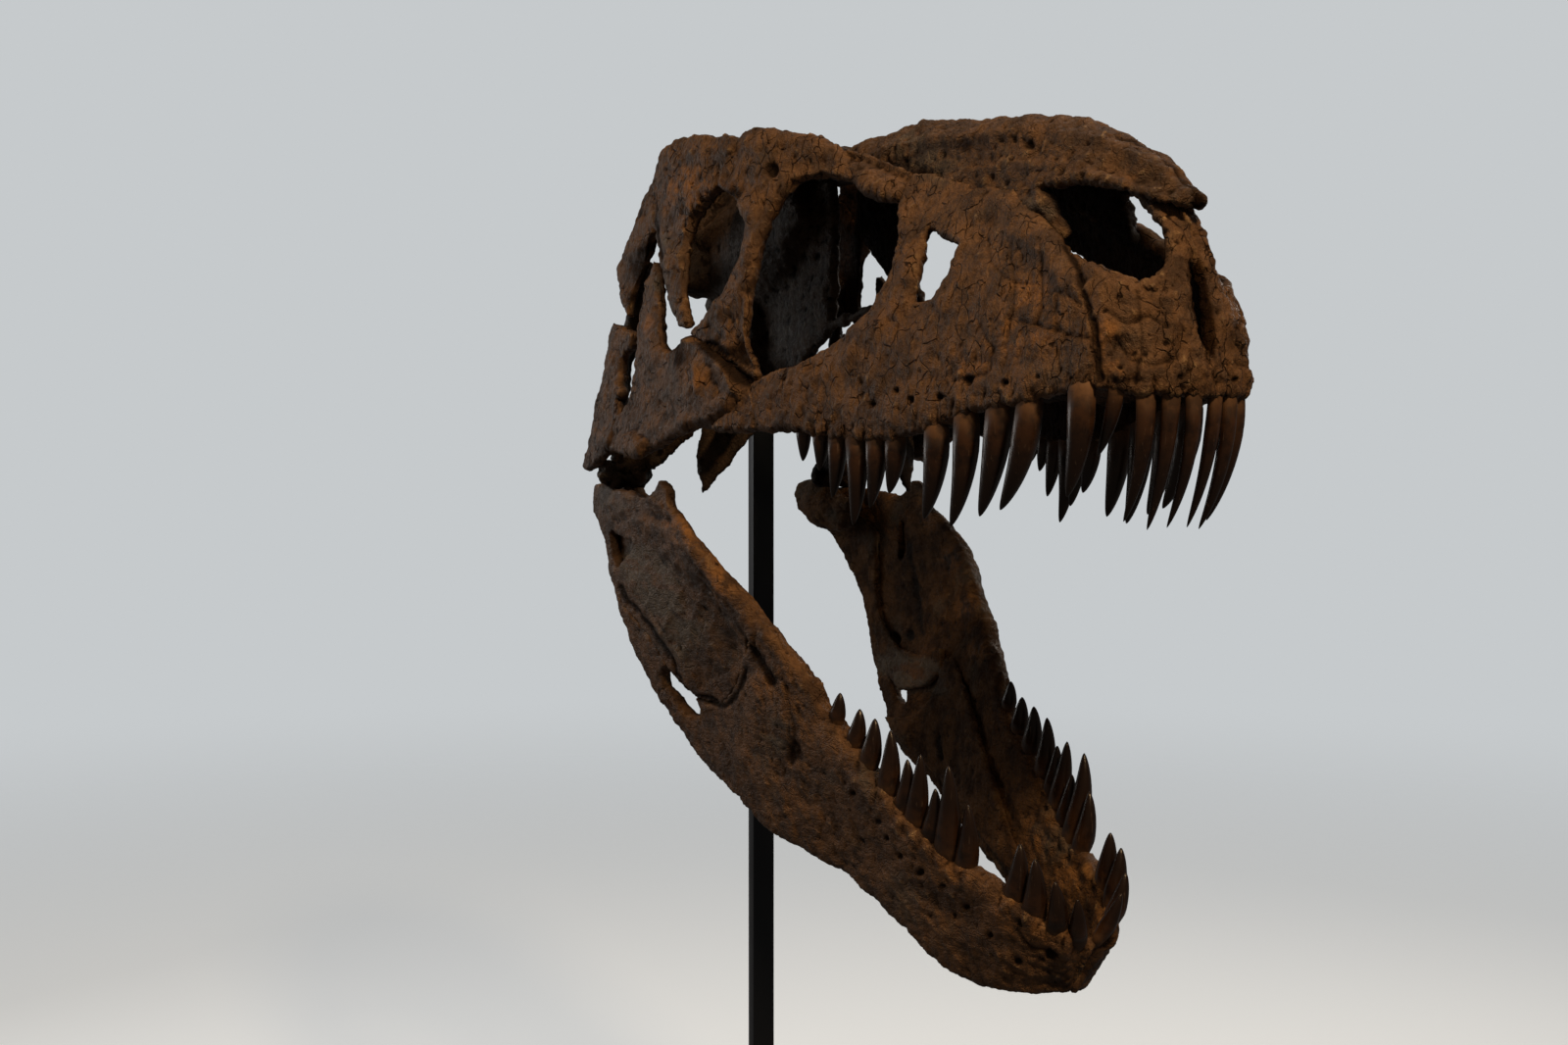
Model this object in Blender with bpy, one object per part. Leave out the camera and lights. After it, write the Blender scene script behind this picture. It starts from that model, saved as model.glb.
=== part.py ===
"""A daspletosaurus skull, jaws open, held on a square steel post and a round base.

Lengths in the tables are millimetres in the skull's own frame: x runs forward from
the jaw joint, y to the skull's left and z up. Each bone of a pair is modelled for the
right side and mirrored for the left one.
"""
import math

import bmesh
import bpy
import numpy as np
from mathutils import Matrix, Vector
from mathutils.geometry import delaunay_2d_cdt

# Frame and stand
MM = 0.001
JOINT_HEIGHT = 1400
POST_X = 90
POST_SIDE = 30
POST_TURN = math.radians(-13)
GAPE = math.radians(30.2)
BASE_RADIUS = 300
BASE_THICK = 12
BASE_EDGE = 3
BASE_SIDES = 36
POST_TOP = 226
SOCKET_FOOT = 100
SUTURE = 0.6
FIT = 0.35
RIM = 0.78
FLAT = math.radians(1.0)

# Middle surface of the cheek: x, low height, half width there, half width at mid
# height, top height, half width there
CHEEK = [
    (-60, 0, 212, 182, 430, 135), (50, 20, 216, 186, 430, 142),
    (150, 30, 218, 188, 430, 150), (250, 40, 212, 184, 430, 150),
    (350, 50, 200, 176, 430, 134), (450, 55, 180, 154, 410, 92),
    (550, 50, 157, 134, 360, 66), (650, 50, 136, 120, 330, 54),
    (750, 55, 120, 105, 315, 48), (850, 70, 106, 92, 295, 40),
    (900, 78, 101, 87, 285, 36),
]
SNOUT_X = 900
# Rounded muzzle in front of SNOUT_X: height, reach forward
REACH = [(60, 91), (100, 94), (150, 86), (190, 76), (240, 69), (290, 52), (340, 28)]
# Vault of the nasal bones: x, crown height, half width, drop to the edge
VAULT = [
    (380, 422, 40, 28), (450, 426, 42, 38), (550, 415, 46, 54), (650, 400, 53, 66),
    (740, 389, 55, 70), (800, 374, 53, 72), (850, 356, 49, 70), (900, 335, 41, 64),
    (940, 311, 30, 52), (1000, 248, 14, 30),
]
# Middle surface of the lower jaw in its own frame, x forward from the joint:
# x, top height, half width, bottom height, half width
JAW = [
    (-80, 40, 172, -60, 168), (0, 50, 190, -80, 182), (60, 60, 196, -90, 194),
    (120, 70, 196, -110, 198), (200, 80, 198, -155, 186), (280, 82, 200, -183, 172),
    (350, 75, 187, -200, 152), (400, 66, 172, -202, 145), (450, 58, 160, -190, 145),
    (520, 40, 138, -180, 142), (600, 18, 120, -165, 120), (680, -2, 111, -145, 96),
    (740, -8, 99, -133, 88), (800, -8, 84, -130, 78), (870, 8, 62, -130, 56),
]
CHIN_X = 870
CHIN_REACH = 83

# Shared sutures on the cheek, x and z
JUGAL_MAXILLA = [(345, 64), (385, 84), (405, 102), (424, 124)]
JUGAL_LACRIMAL = [(424, 124), (375, 146), (300, 176), (264, 189)]
LACRIMAL_MAXILLA = [(575, 322), (580, 350)]
LACRIMAL_POSTORBITAL = [(286, 374), (296, 400), (311, 430)]
SQUAMOSAL_POSTORBITAL = [(104, 350), (90, 393), (72, 425)]
QUADRATOJUGAL_JUGAL = [(62, 42), (66, 70), (80, 97)]
PREMAXILLA_MAXILLA = [(903, 217), (915, 196), (928, 173), (940, 138), (945, 92)]

# Outlines of the cheek bones, x and z
MAXILLA = JUGAL_MAXILLA + [
    (468, 130), (506, 137), (563, 166), (590, 185), (613, 227), (615, 246), (604, 273),
] + LACRIMAL_MAXILLA + [
    (627, 340), (696, 328), (772, 300), (835, 257), (880, 229),
] + PREMAXILLA_MAXILLA + [
    (872, 85), (772, 73), (729, 60), (656, 49), (582, 51), (510, 62), (430, 63),
]
MAXILLARY_FENESTRA = [
    (650, 238), (642, 282), (672, 272), (710, 256), (712, 226), (700, 196), (664, 194),
]
LACRIMAL = JUGAL_LACRIMAL + [
    (304, 213), (331, 234), (349, 263), (362, 297), (358, 315), (346, 335), (326, 354),
] + LACRIMAL_POSTORBITAL + [
    (332, 440), (380, 430), (428, 417), (468, 397), (524, 376),
] + LACRIMAL_MAXILLA[::-1] + [
    (523, 338), (488, 360), (460, 369), (424, 366), (404, 356), (395, 335),
    (386, 290), (387, 180), (396, 162), (412, 144),
]
POSTORBITAL = SQUAMOSAL_POSTORBITAL + [
    (76, 452), (116, 462), (200, 452), (282, 440),
] + LACRIMAL_POSTORBITAL[::-1] + [
    (250, 364), (217, 345), (208, 307), (214, 281), (236, 230), (254, 198),
    (246, 196), (222, 208), (197, 227), (166, 269), (137, 306), (119, 336),
]
SQUAMOSAL = SQUAMOSAL_POSTORBITAL + [
    (50, 400), (17, 348), (-18, 302), (8, 266), (58, 226), (56, 256), (82, 289),
    (92, 330),
]
JUGAL = JUGAL_MAXILLA + JUGAL_LACRIMAL[1:] + [
    (244, 182), (231, 174), (210, 166), (184, 182), (172, 226), (158, 256),
    (142, 280), (122, 299), (112, 280), (106, 202), (122, 148), (106, 106),
] + QUADRATOJUGAL_JUGAL[::-1] + [
    (125, 40), (176, 36), (268, 62), (316, 69),
]
QUADRATOJUGAL = QUADRATOJUGAL_JUGAL + [
    (66, 112), (80, 122), (64, 137), (61, 172), (96, 186), (98, 200), (50, 212),
    (6, 223), (-3, 211), (-5, 169), (-8, 107), (-26, 66), (-50, 22), (-29, 14), (16, 30),
]
# Outlines on the muzzle: arc length from the midline and height
PREMAXILLA_LOW = [(1, 84), (60, 86), (113, 92)]
PREMAXILLA_NARIS = [(104, 202), (80, 193), (54, 190), (30, 206), (29, 224), (40, 250), (62, 274)]
PREMAXILLA_MIDLINE = [(60, 292), (1, 292), (1, 222), (9, 206), (11, 185), (10, 148), (7, 128),
                      (1, 112)]
# Outline of the nasal bones on the vault: x and arc length from the midline
NASAL_SIDE = [
    (372, 12), (380, 39), (434, 65), (481, 78), (526, 90), (549, 96), (620, 105),
    (702, 112), (771, 122), (818, 131), (838, 132), (830, 118), (806, 94),
    (848, 80), (870, 72), (894, 64), (922, 57), (942, 50), (964, 32), (980, 12),
]
NASAL_NOTCH = 966

# Outlines of the lower jaw, x and z in the jaw's frame
SURANGULAR_ANGULAR = [(58, -88), (100, -99), (146, -112), (190, -112), (235, -110), (270, -120)]
SURANGULAR_DENTARY = [(340, -124), (390, -100), (412, -68), (418, -34), (421, 4),
                      (430, 40), (450, 57)]
ANGULAR_DENTARY = [(275, -154), (262, -170), (276, -186)]
DENTARY = ANGULAR_DENTARY + [
    (315, -191), (353, -204), (405, -201), (475, -183), (550, -179), (652, -145),
    (728, -132), (787, -130), (831, -138), (874, -126), (905, -106), (936, -88),
    (966, -76), (999, -70), (999, -6), (966, 4), (917, 9), (840, 8), (815, -9),
    (757, -9), (683, 2), (557, 20), (528, 38), (475, 49),
] + SURANGULAR_DENTARY[::-1] + [(354, -134), (359, -147), (346, -158), (325, -162), (298, -157)]
SURANGULAR = SURANGULAR_ANGULAR + [(285, -126), (303, -121), (324, -121)] + SURANGULAR_DENTARY + [
    (393, 69), (355, 74), (312, 81), (237, 84), (204, 80), (190, 101), (160, 99),
    (152, 70), (130, 49), (60, 24), (20, 0), (-40, -27), (-70, -42), (-84, -60),
    (-66, -88), (-20, -80), (32, -76),
]
SURANGULAR_FORAMEN = [(44, -54), (82, -34), (132, -20), (120, -52), (101, -80), (66, -70)]
ANGULAR = SURANGULAR_ANGULAR + [(264, -134), (266, -146)] + ANGULAR_DENTARY + [
    (236, -175), (187, -153), (146, -133), (116, -115), (72, -94),
]
SPLENIAL = [(332, -188), (352, -172), (392, -142), (412, -112), (421, -76), (410, -30),
            (430, -14), (520, -30), (640, -60), (760, -84), (770, -98), (640, -128),
            (500, -158), (400, -182)]
PREARTICULAR = [(10, -30), (44, -20), (90, -8), (132, -8), (150, -38), (190, -88), (240, -108),
                (300, -100), (346, -72), (398, -24), (414, -48), (404, -82), (340, -138),
                (283, -150), (240, -138), (190, -116), (124, -97), (70, -86), (30, -72), (10, -52)]
# Half thicknesses of the plates that lie on each other, and the play between them
SURANGULAR_HALF = 9
PREARTICULAR_HALF = 5
SPLENIAL_HALF = 4
PLAY = 1
# Slot through the left lower jaw: x and z of its corners in the middle of the plate,
# the plate's y there, and how far the slot runs back and down for each mm outwards
SLOT = [(151, 26), (161, 34), (193, -13), (183, -21)]
SLOT_MIDDLE = 197
SLOT_RUN = (-1.33, -0.84)
SLOT_REACH = 30

# Teeth: root place along the row, place and height of the tip, half width at the root
UPPER_TEETH = [
    (506, 500, 25, 8), (534, 527, 14, 9), (562, 549, -17, 10), (592, 583, -48, 11),
    (624, 610, -28, 11), (656, 641, -12, 11), (720, 696, -39, 13), (765, 738, -46, 13),
    (815, 781, -35, 13), (858, 811, -28, 13), (928, 906, -14, 12),
]
FRONT_TEETH = [(14, -44, 9), (37, -46, 10), (62, -38, 10), (89, 26, 9)]
FRONT_LEAN = 38
LOWER_TEETH = [
    (512, 506, 52, 5), (546, 536, 44, 7), (580, 570, 48, 8), (618, 606, 51, 9),
    (652, 634, 58, 10), (692, 664, 64, 10), (722, 702, 52, 9), (742, 717, 70, 10),
    (768, 751, 49, 9), (795, 757, 85, 11), (822, 796, 62, 10), (888, 868, 66, 10),
    (918, 893, 66, 10), (950, 925, 58, 9), (980, 958, 50, 8),
]
# Edges of the bones that the rows stand on, x and z
UPPER_ROW = [(452, 64), (510, 63), (582, 51), (656, 49), (729, 60), (772, 73), (872, 85), (946, 92)]
LOWER_ROW = [(475, 49), (528, 38), (557, 20), (683, 2), (757, -9), (815, -9), (840, 8), (917, 9),
             (940, 8), (999, -4)]
TOOTH_SIDES = 4
# How far along a tooth its bend is, and its size there
TOOTH_WAIST = (0.52, 0.86)
# Thickness of a tooth across the row against its width along it
TOOTH_FLATNESS = 0.9
TOOTH_ROOT = 14
# Sideways bow of a tooth against its length, and how far its tip leans to the midline
TOOTH_BOW = 0.05
FRONT_TUCK = 0.9
SIDE_TUCK = 0.97

# Inner bones: rods as x, y, z, half width, half depth, and plates as rows of points
QUADRATE_ROLLER = [
    (12, -214, 16, 11, 12), (10, -206, 13, 19, 20), (8, -190, 12, 22, 22),
    (6, -172, 15, 19, 19), (6, -152, 12, 22, 22), (6, -138, 14, 17, 17), (6, -131, 16, 9, 9),
]
QUADRATE_SHAFT = [
    (4, -170, 14, 26, 18), (-10, -170, 55, 15, 14), (-20, -170, 100, 12, 12),
    (-6, -170, 140, 12, 12), (10, -168, 190, 12, 12), (24, -162, 245, 13, 13),
    (36, -157, 300, 14, 14),
]
QUADRATE_WING = [
    [(-8, -165, 18), (-10, -165, 50), (-14, -165, 80)],
    [(30, -147, 11), (30, -146, 54), (30, -146, 98)],
    [(60, -128, 36), (60, -126, 92), (60, -126, 148)],
    [(96, -108, 72), (96, -106, 118), (94, -106, 164)],
    [(124, -92, 82), (124, -90, 112), (122, -91, 142)],
]
PTERYGOID = [
    [(100, -98, 80), (100, -96, 104), (100, -97, 128)],
    [(150, -68, 90), (150, -66, 112), (150, -67, 134)],
    [(200, -50, 96), (200, -48, 118), (200, -49, 140)],
    [(270, -42, 100), (270, -40, 118), (270, -41, 136)],
    [(350, -38, 104), (350, -36, 118), (350, -37, 132)],
    [(440, -30, 107), (440, -28, 119), (440, -29, 131)],
    [(530, -22, 108), (530, -20, 119), (530, -21, 130)],
    [(600, -15, 108), (600, -13, 117), (600, -14, 126)],
]
PTERYGOID_FLANGE = [
    [(262, -42, 122), (244, -100, 118), (230, -148, 102)],
    [(256, -58, 94), (240, -110, 84), (228, -162, 68)],
    [(248, -90, 66), (238, -128, 54), (227, -167, 38)],
    [(240, -118, 36), (234, -142, 24), (227, -164, 10)],
    [(234, -144, 2), (230, -153, -10), (228, -160, -16)],
]
PTERYGOID_STRUT = [
    (240, -124, 74, 14, 10), (290, -150, 78, 12, 9), (330, -174, 84, 16, 10), (342, -188, 88, 20, 12),
]
PALATINE = [
    [(400, -184, 104), (400, -132, 116), (400, -80, 126)],
    [(460, -168, 102), (460, -104, 118), (460, -28, 126)],
    [(530, -148, 100), (530, -88, 116), (530, -19, 122)],
    [(600, -130, 98), (600, -78, 112), (600, -14, 118)],
    [(650, -120, 96), (650, -84, 106), (650, -50, 112)],
]
PALATAL_SHELF = [
    [(700, -118, 90), (700, -92, 96), (700, -72, 100)],
    [(770, -108, 94), (770, -74, 102), (770, -40, 108)],
    [(840, -98, 98), (840, -58, 106), (840, -20, 112)],
    [(900, -90, 100), (900, -50, 106), (900, -16, 112)],
    [(936, -74, 104), (936, -44, 108), (936, -16, 112)],
]
VOMER = [
    (572, 0, 118, 17, 7), (604, 0, 116, 15, 7), (640, 0, 114, 7, 6), (860, 0, 106, 7, 6),
    (915, 0, 106, 20, 6), (992, 0, 106, 12, 6),
]
ROOF = [
    [(96, -60, 410), (92, 0, 436), (96, 60, 410)],
    [(140, -138, 430), (140, 0, 434), (140, 138, 430)],
    [(200, -146, 432), (200, 0, 432), (200, 146, 432)],
    [(300, -142, 426), (300, 0, 426), (300, 142, 426)],
    [(400, -108, 405), (400, 0, 398), (400, 108, 405)],
    [(490, -72, 380), (490, 0, 372), (490, 72, 380)],
]
BRAIN_BOX = [
    (-30, 0, 318, 42, 84), (40, 0, 322, 52, 92), (110, 0, 326, 50, 92), (180, 0, 342, 42, 76),
    (245, 0, 372, 34, 48),
]
SAGITTAL_CREST = [(-22, 0, 420, 8, 34), (30, 0, 418, 6, 30), (100, 0, 415, 8, 26)]
NUCHAL_CREST = [
    [(4, -108, 352), (-14, -60, 330), (-22, 0, 325), (-14, 60, 330), (4, 108, 352)],
    [(0, -112, 400), (-22, -60, 396), (-32, 0, 396), (-22, 60, 396), (0, 112, 400)],
    [(-4, -104, 440), (-30, -56, 456), (-40, 0, 462), (-30, 56, 456), (-4, 104, 440)],
]
BASISPHENOID = [(66, 0, 262, 40, 46), (86, 0, 214, 33, 34), (90, 0, 160, 30, 30)]
OCCIPITAL_CONDYLE = [(-64, 0, 262, 8, 8), (-54, 0, 262, 19, 18), (-38, 0, 264, 22, 21), (0, 0, 270, 24, 24)]
PAROCCIPITAL = [
    (-8, -34, 302, 20, 44), (-18, -80, 300, 12, 42), (-22, -122, 296, 9, 38), (-14, -160, 292, 7, 28),
]
BASIPTERYGOID = [(86, -18, 180, 16, 16), (98, -42, 146, 13, 12), (112, -92, 112, 12, 10)]
ROSTRUM = [(100, 0, 176, 12, 22), (200, 0, 190, 8, 18), (300, 0, 208, 5, 10), (400, 0, 220, 4, 7)]
SEPTUM = [
    [(100, 0, 150), (100, 0, 230), (100, 0, 310)],
    [(160, 0, 146), (160, 0, 240), (160, 0, 350)],
    [(215, 0, 160), (215, 0, 270), (215, 0, 396)],
    [(262, 0, 180), (264, 0, 290), (268, 0, 400)],
    [(290, 0, 206), (304, 0, 300), (298, 0, 396)],
]
ARTICULAR = [
    (-50, -160, -46, 20, 22), (-12, -160, -38, 30, 34),
    (30, -160, -28, 30, 32), (66, -160, -18, 22, 26), (92, -156, 6, 9, 24),
]

# Looks
BONE_COLOUR = (0.19, 0.115, 0.06, 1)
STEEL_COLOUR = (0.02, 0.02, 0.022, 1)


def clear_scene():
    """Empty the open file of its objects."""
    for item in list(bpy.data.objects):
        bpy.data.objects.remove(item, do_unlink=True)


def principled(name, colour, roughness, metallic=0.0):
    """A plain Principled material."""
    material = bpy.data.materials.new(name)
    material.use_nodes = True
    shader = material.node_tree.nodes["Principled BSDF"]
    shader.inputs["Base Color"].default_value = colour
    shader.inputs["Roughness"].default_value = roughness
    shader.inputs["Metallic"].default_value = metallic
    material.diffuse_color = colour
    return material


def ease(table, at):
    """Smooth values between the rows of a table whose first column is the place."""
    rows = np.asarray(table, float)
    xs = rows[:, 0]
    at = np.clip(np.asarray(at, float), xs[0], xs[-1])
    i = np.clip(np.searchsorted(xs, at, side="right") - 1, 0, len(xs) - 2)
    span = xs[i + 1] - xs[i]
    t = (at - xs[i]) / span
    out = []
    for column in rows[:, 1:].T:
        slope = np.gradient(column, xs)
        out.append(column[i] * (2 * t**3 - 3 * t**2 + 1) + span * slope[i] * (t**3 - 2 * t**2 + t)
                   + column[i + 1] * (3 * t**2 - 2 * t**3) + span * slope[i + 1] * (t**3 - t**2))
    return out


def cheek_half_width(x, z):
    """Half the skull's width at a place on the cheek, muzzle included."""
    low, w_low, w_mid, top, w_top = ease(CHEEK, x)
    t = np.clip((z - low) / (top - low), -0.3, 1.3)
    width = w_low * (1 - t) * (1 - 2 * t) + w_mid * 4 * t * (1 - t) + w_top * t * (2 * t - 1)
    reach, = ease(REACH, z)
    ahead = np.clip((np.asarray(x, float) - SNOUT_X) / reach, 0, 0.98)
    return width * np.sqrt(1 - ahead**2)


def cheek(x, z):
    """Point on the right cheek."""
    x = np.asarray(x, float)
    return np.stack([x, -cheek_half_width(x, z), np.asarray(z, float) + 0 * x], -1)


def muzzle(u, z):
    """Point on the muzzle, u being the arc from the midline to the right."""
    z = np.asarray(z, float)
    reach, = ease(REACH, z)
    lean = -0.75 * np.clip(z - 250, 0, None)
    turn = np.asarray(u, float) / 100
    half = cheek_half_width(SNOUT_X + 0 * z, z)
    return np.stack([SNOUT_X + lean + reach * np.cos(turn), -half * np.sin(turn), z + 0 * turn], -1)


def vault(x, v):
    """Point on the vault of the nasal bones."""
    crown, half, drop = ease(VAULT, x)
    quarter = math.pi / 2 * np.sqrt((half**2 + drop**2) / 2)
    turn = math.pi / 2 * np.asarray(v, float) / quarter
    return np.stack([np.asarray(x, float) + 0 * turn, -half * np.sin(turn),
                     crown - drop * (1 - np.cos(turn))], -1)


def jaw_side(x, z):
    """Point on the right side of the lower jaw, x being an arc beyond CHIN_X."""
    x = np.asarray(x, float)
    top, w_top, bottom, w_bottom = ease(JAW, x)
    t = np.clip((z - bottom) / (top - bottom), -0.2, 1.2)
    turn = np.clip(x - CHIN_X, 0, None) / CHIN_REACH
    ahead = np.minimum(x, CHIN_X) + CHIN_REACH * np.sin(turn)
    width = (w_bottom + (w_top - w_bottom) * t) * np.cos(turn)
    return np.stack([ahead, -width, np.asarray(z, float) + 0 * x], -1)


def to_muzzle(points):
    """Cheek points in front of SNOUT_X as arcs on the muzzle."""
    out = []
    for x, z in points:
        reach, = ease(REACH, z)
        out.append((100 * math.acos((x - SNOUT_X) / reach), z))
    return out


def divide(loop, step):
    """A closed outline with long sides divided."""
    out = []
    for a, b in zip(loop, loop[1:] + loop[:1]):
        parts = max(1, math.ceil(math.dist(a, b) / step - 0.35))
        out += [(a[0] + (b[0] - a[0]) * k / parts, a[1] + (b[1] - a[1]) * k / parts)
                for k in range(parts)]
    return out


def inset(loop, amount):
    """A closed outline moved inwards by a small amount."""
    area = sum(a[0] * b[1] - b[0] * a[1] for a, b in zip(loop, loop[1:] + loop[:1]))
    side = 1 if area > 0 else -1
    out = []
    for before, here, after in zip(loop[-1:] + loop[:-1], loop, loop[1:] + loop[:1]):
        one = np.array([before[1] - here[1], here[0] - before[0]]) * side
        two = np.array([here[1] - after[1], after[0] - here[0]]) * side
        one = one / np.linalg.norm(one)
        two = two / np.linalg.norm(two)
        mitre = (one + two) / max(0.35, 1 + float(one @ two))
        out.append(tuple(np.array(here) + mitre * amount))
    return out


def inside(points, loop):
    """Which points lie inside a closed outline."""
    points = np.asarray(points, float)
    result = np.zeros(len(points), bool)
    for (x1, y1), (x2, y2) in zip(loop, loop[1:] + loop[:1]):
        if y1 == y2:
            continue
        crosses = (points[:, 1] < y1) != (points[:, 1] < y2)
        result ^= crosses & (points[:, 0] < (x2 - x1) * (points[:, 1] - y1) / (y2 - y1) + x1)
    return result


def distance(points, loop):
    """Distance of points to a closed outline."""
    points = np.asarray(points, float)
    best = np.full(len(points), np.inf)
    for a, b in zip(loop, loop[1:] + loop[:1]):
        a, b = np.array(a, float), np.array(b, float)
        t = np.clip((points - a) @ (b - a) / max(1e-9, (b - a) @ (b - a)), 0, 1)
        best = np.minimum(best, np.linalg.norm(points - a - t[:, None] * (b - a), axis=1))
    return best


def fill(outline, holes, step):
    """Triangles over an outline with holes: points and faces."""
    loops = [divide(loop, step) for loop in [outline] + list(holes)]
    points = [p for loop in loops for p in loop]
    edges = []
    first = 0
    for loop in loops:
        edges += [(first + i, first + (i + 1) % len(loop)) for i in range(len(loop))]
        first += len(loop)
    low, high = np.min(points, axis=0), np.max(points, axis=0)
    grid = [(x + (row % 2) * step / 2, z)
            for row, z in enumerate(np.arange(low[1], high[1], step * 0.87))
            for x in np.arange(low[0], high[0], step)]
    good = inside(grid, loops[0]) & (distance(grid, loops[0]) > step * 0.5)
    for hole in loops[1:]:
        good &= ~inside(grid, hole) & (distance(grid, hole) > step * 0.5)
    points += [p for p, keep in zip(grid, good) if keep]
    verts, _, faces, _, _, _ = delaunay_2d_cdt([Vector(p) for p in points], edges, [], 0, 1e-5)
    centres = [tuple(sum((verts[i] for i in f), Vector((0, 0))) / 3) for f in faces]
    keep = inside(centres, loops[0])
    for hole in loops[1:]:
        keep &= ~inside(centres, hole)
    return np.array([tuple(v) for v in verts]), [f for f, k in zip(faces, keep) if k]


def shell(points, normals, half, faces):
    """Close a surface into a plate: both sides and the rim between."""
    n = len(points)
    verts = np.concatenate([points + normals * half[:, None], points - normals * half[:, None]])
    count = {}
    for f in faces:
        for a, b in zip(f, f[1:] + f[:1]):
            count[(a, b)] = count.get((a, b), 0) + 1
    rim = [(a, b) for a, b in count if (b, a) not in count]
    all_faces = [list(f) for f in faces] + [[i + n for i in reversed(f)] for f in faces]
    all_faces += [[b, a, a + n, b + n] for a, b in rim]
    return verts, all_faces


def make_object(name, verts, faces):
    """A mesh object in millimetres, faces triangulated and facing out."""
    mesh = bpy.data.meshes.new(name)
    mesh.from_pydata([tuple(float(c) for c in v) for v in verts], [], faces)
    data = bmesh.new()
    data.from_mesh(mesh)
    loose = [v for v in data.verts if not v.link_faces]
    bmesh.ops.delete(data, geom=loose, context="VERTS")
    bmesh.ops.triangulate(data, faces=data.faces[:])
    bmesh.ops.recalc_face_normals(data, faces=data.faces[:])
    if data.calc_volume(signed=True) < 0:
        bmesh.ops.reverse_faces(data, faces=data.faces[:])
    data.to_mesh(mesh)
    data.free()
    item = bpy.data.objects.new(name, mesh)
    bpy.context.scene.collection.objects.link(item)
    return item


def plate(name, outline, place, half, step=34, holes=(), rim=RIM, turn=1):
    """A plate of bone that follows a surface, thinner along its rim."""
    outline = inset(outline, SUTURE / 2)
    points, faces = fill(outline, holes, step)
    u, v = points[:, 0], points[:, 1]
    normals = np.cross(place(u + 1, v) - place(u - 1, v), place(u, v + 1) - place(u, v - 1))
    normals *= turn / np.linalg.norm(normals, axis=1)[:, None]
    thick = half(u, v) if callable(half) else np.full(len(points), float(half))
    near = np.min([distance(points, loop) for loop in [outline, *holes]], axis=0)
    thick = np.where(near < 1e-3, thick * rim, thick)
    return make_object(name, *shell(place(u, v), normals, thick, [tuple(f) for f in faces]))


def slab(name, rows, half, rim=0.6):
    """A plate through rows of points."""
    grid = np.array(rows, float)
    m, n = grid.shape[:2]
    du = np.gradient(grid, axis=0)
    dv = np.gradient(grid, axis=1)
    normals = np.cross(du, dv).reshape(-1, 3)
    normals /= np.linalg.norm(normals, axis=1)[:, None]
    thick = np.full((m, n), float(half))
    thick[[0, -1], :] *= rim
    thick[:, [0, -1]] *= rim
    faces = [(i * n + j, (i + 1) * n + j, (i + 1) * n + j + 1, i * n + j + 1)
             for i in range(m - 1) for j in range(n - 1)]
    return make_object(name, *shell(grid.reshape(-1, 3), normals, thick.ravel(), faces))


def limb(name, path, sides=6, across=(0, 1, 0)):
    """A tapering rod through stations (x, y, z, half width, half depth)."""
    path = np.array(path, float)
    middle = path[:, :3]
    run = np.gradient(middle, axis=0)
    run /= np.linalg.norm(run, axis=1)[:, None]
    verts = []
    for centre, way, (a, b) in zip(middle, run, path[:, 3:5]):
        wide = np.array(across, float)
        wide -= way * (wide @ way)
        wide /= np.linalg.norm(wide)
        deep = np.cross(way, wide)
        for k in range(sides):
            turn = 2 * math.pi * (k + 0.5) / sides
            verts.append(centre + wide * a * math.cos(turn) + deep * b * math.sin(turn))
    n = len(path)
    faces = [(i * sides + k, i * sides + (k + 1) % sides,
              (i + 1) * sides + (k + 1) % sides, (i + 1) * sides + k)
             for i in range(n - 1) for k in range(sides)]
    faces.append(tuple(range(sides))[::-1])
    faces.append(tuple((n - 1) * sides + k for k in range(sides)))
    return make_object(name, verts, faces)


def upright(name, side, foot, top):
    """A square bar on the post's own axis, turned as the post is."""
    half = side / 2
    item = block(name, (POST_X - half, -half, foot), (POST_X + half, half, top))
    centre = Vector((POST_X, 0, 0))
    turn = Matrix.Translation(centre) @ Matrix.Rotation(POST_TURN, 4, "Z") @ Matrix.Translation(-centre)
    item.data.transform(turn)
    return item


def block(name, low, high):
    """A plain box between two corners."""
    verts = [(x, y, z) for x in (low[0], high[0]) for y in (low[1], high[1]) for z in (low[2], high[2])]
    faces = [(0, 1, 3, 2), (4, 6, 7, 5), (0, 4, 5, 1), (2, 3, 7, 6), (0, 2, 6, 4), (1, 5, 7, 3)]
    return make_object(name, verts, faces)


def combine(item, other, how):
    """Exact Boolean of one object with another, which is then dropped."""
    step = item.modifiers.new("combine", "BOOLEAN")
    step.solver = "EXACT"
    step.operation = how
    step.object = other
    bpy.context.view_layer.update()
    shape = bpy.data.meshes.new_from_object(item.evaluated_get(bpy.context.evaluated_depsgraph_get()))
    item.modifiers.clear()
    item.data = shape
    bpy.data.objects.remove(other, do_unlink=True)


def join(item, *others):
    """Fuse other objects into one."""
    for other in others:
        combine(item, other, "UNION")
    return item


def swollen(item, amount):
    """A copy of an object that is larger all round by a small amount."""
    copy = item.copy()
    copy.data = item.data.copy()
    bpy.context.scene.collection.objects.link(copy)
    data = bmesh.new()
    data.from_mesh(copy.data)
    data.normal_update()
    moves = [v.normal * amount * min(2.0, v.calc_shell_factor()) for v in data.verts]
    for v, move in zip(data.verts, moves):
        v.co += move
    data.to_mesh(copy.data)
    data.free()
    return copy


def clear_of(item, *others):
    """Cut an object back so that it clears others, and keep its largest body."""
    for other in others:
        combine(item, swollen(other, FIT), "DIFFERENCE")
    keep_largest(item)
    return item


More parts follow.
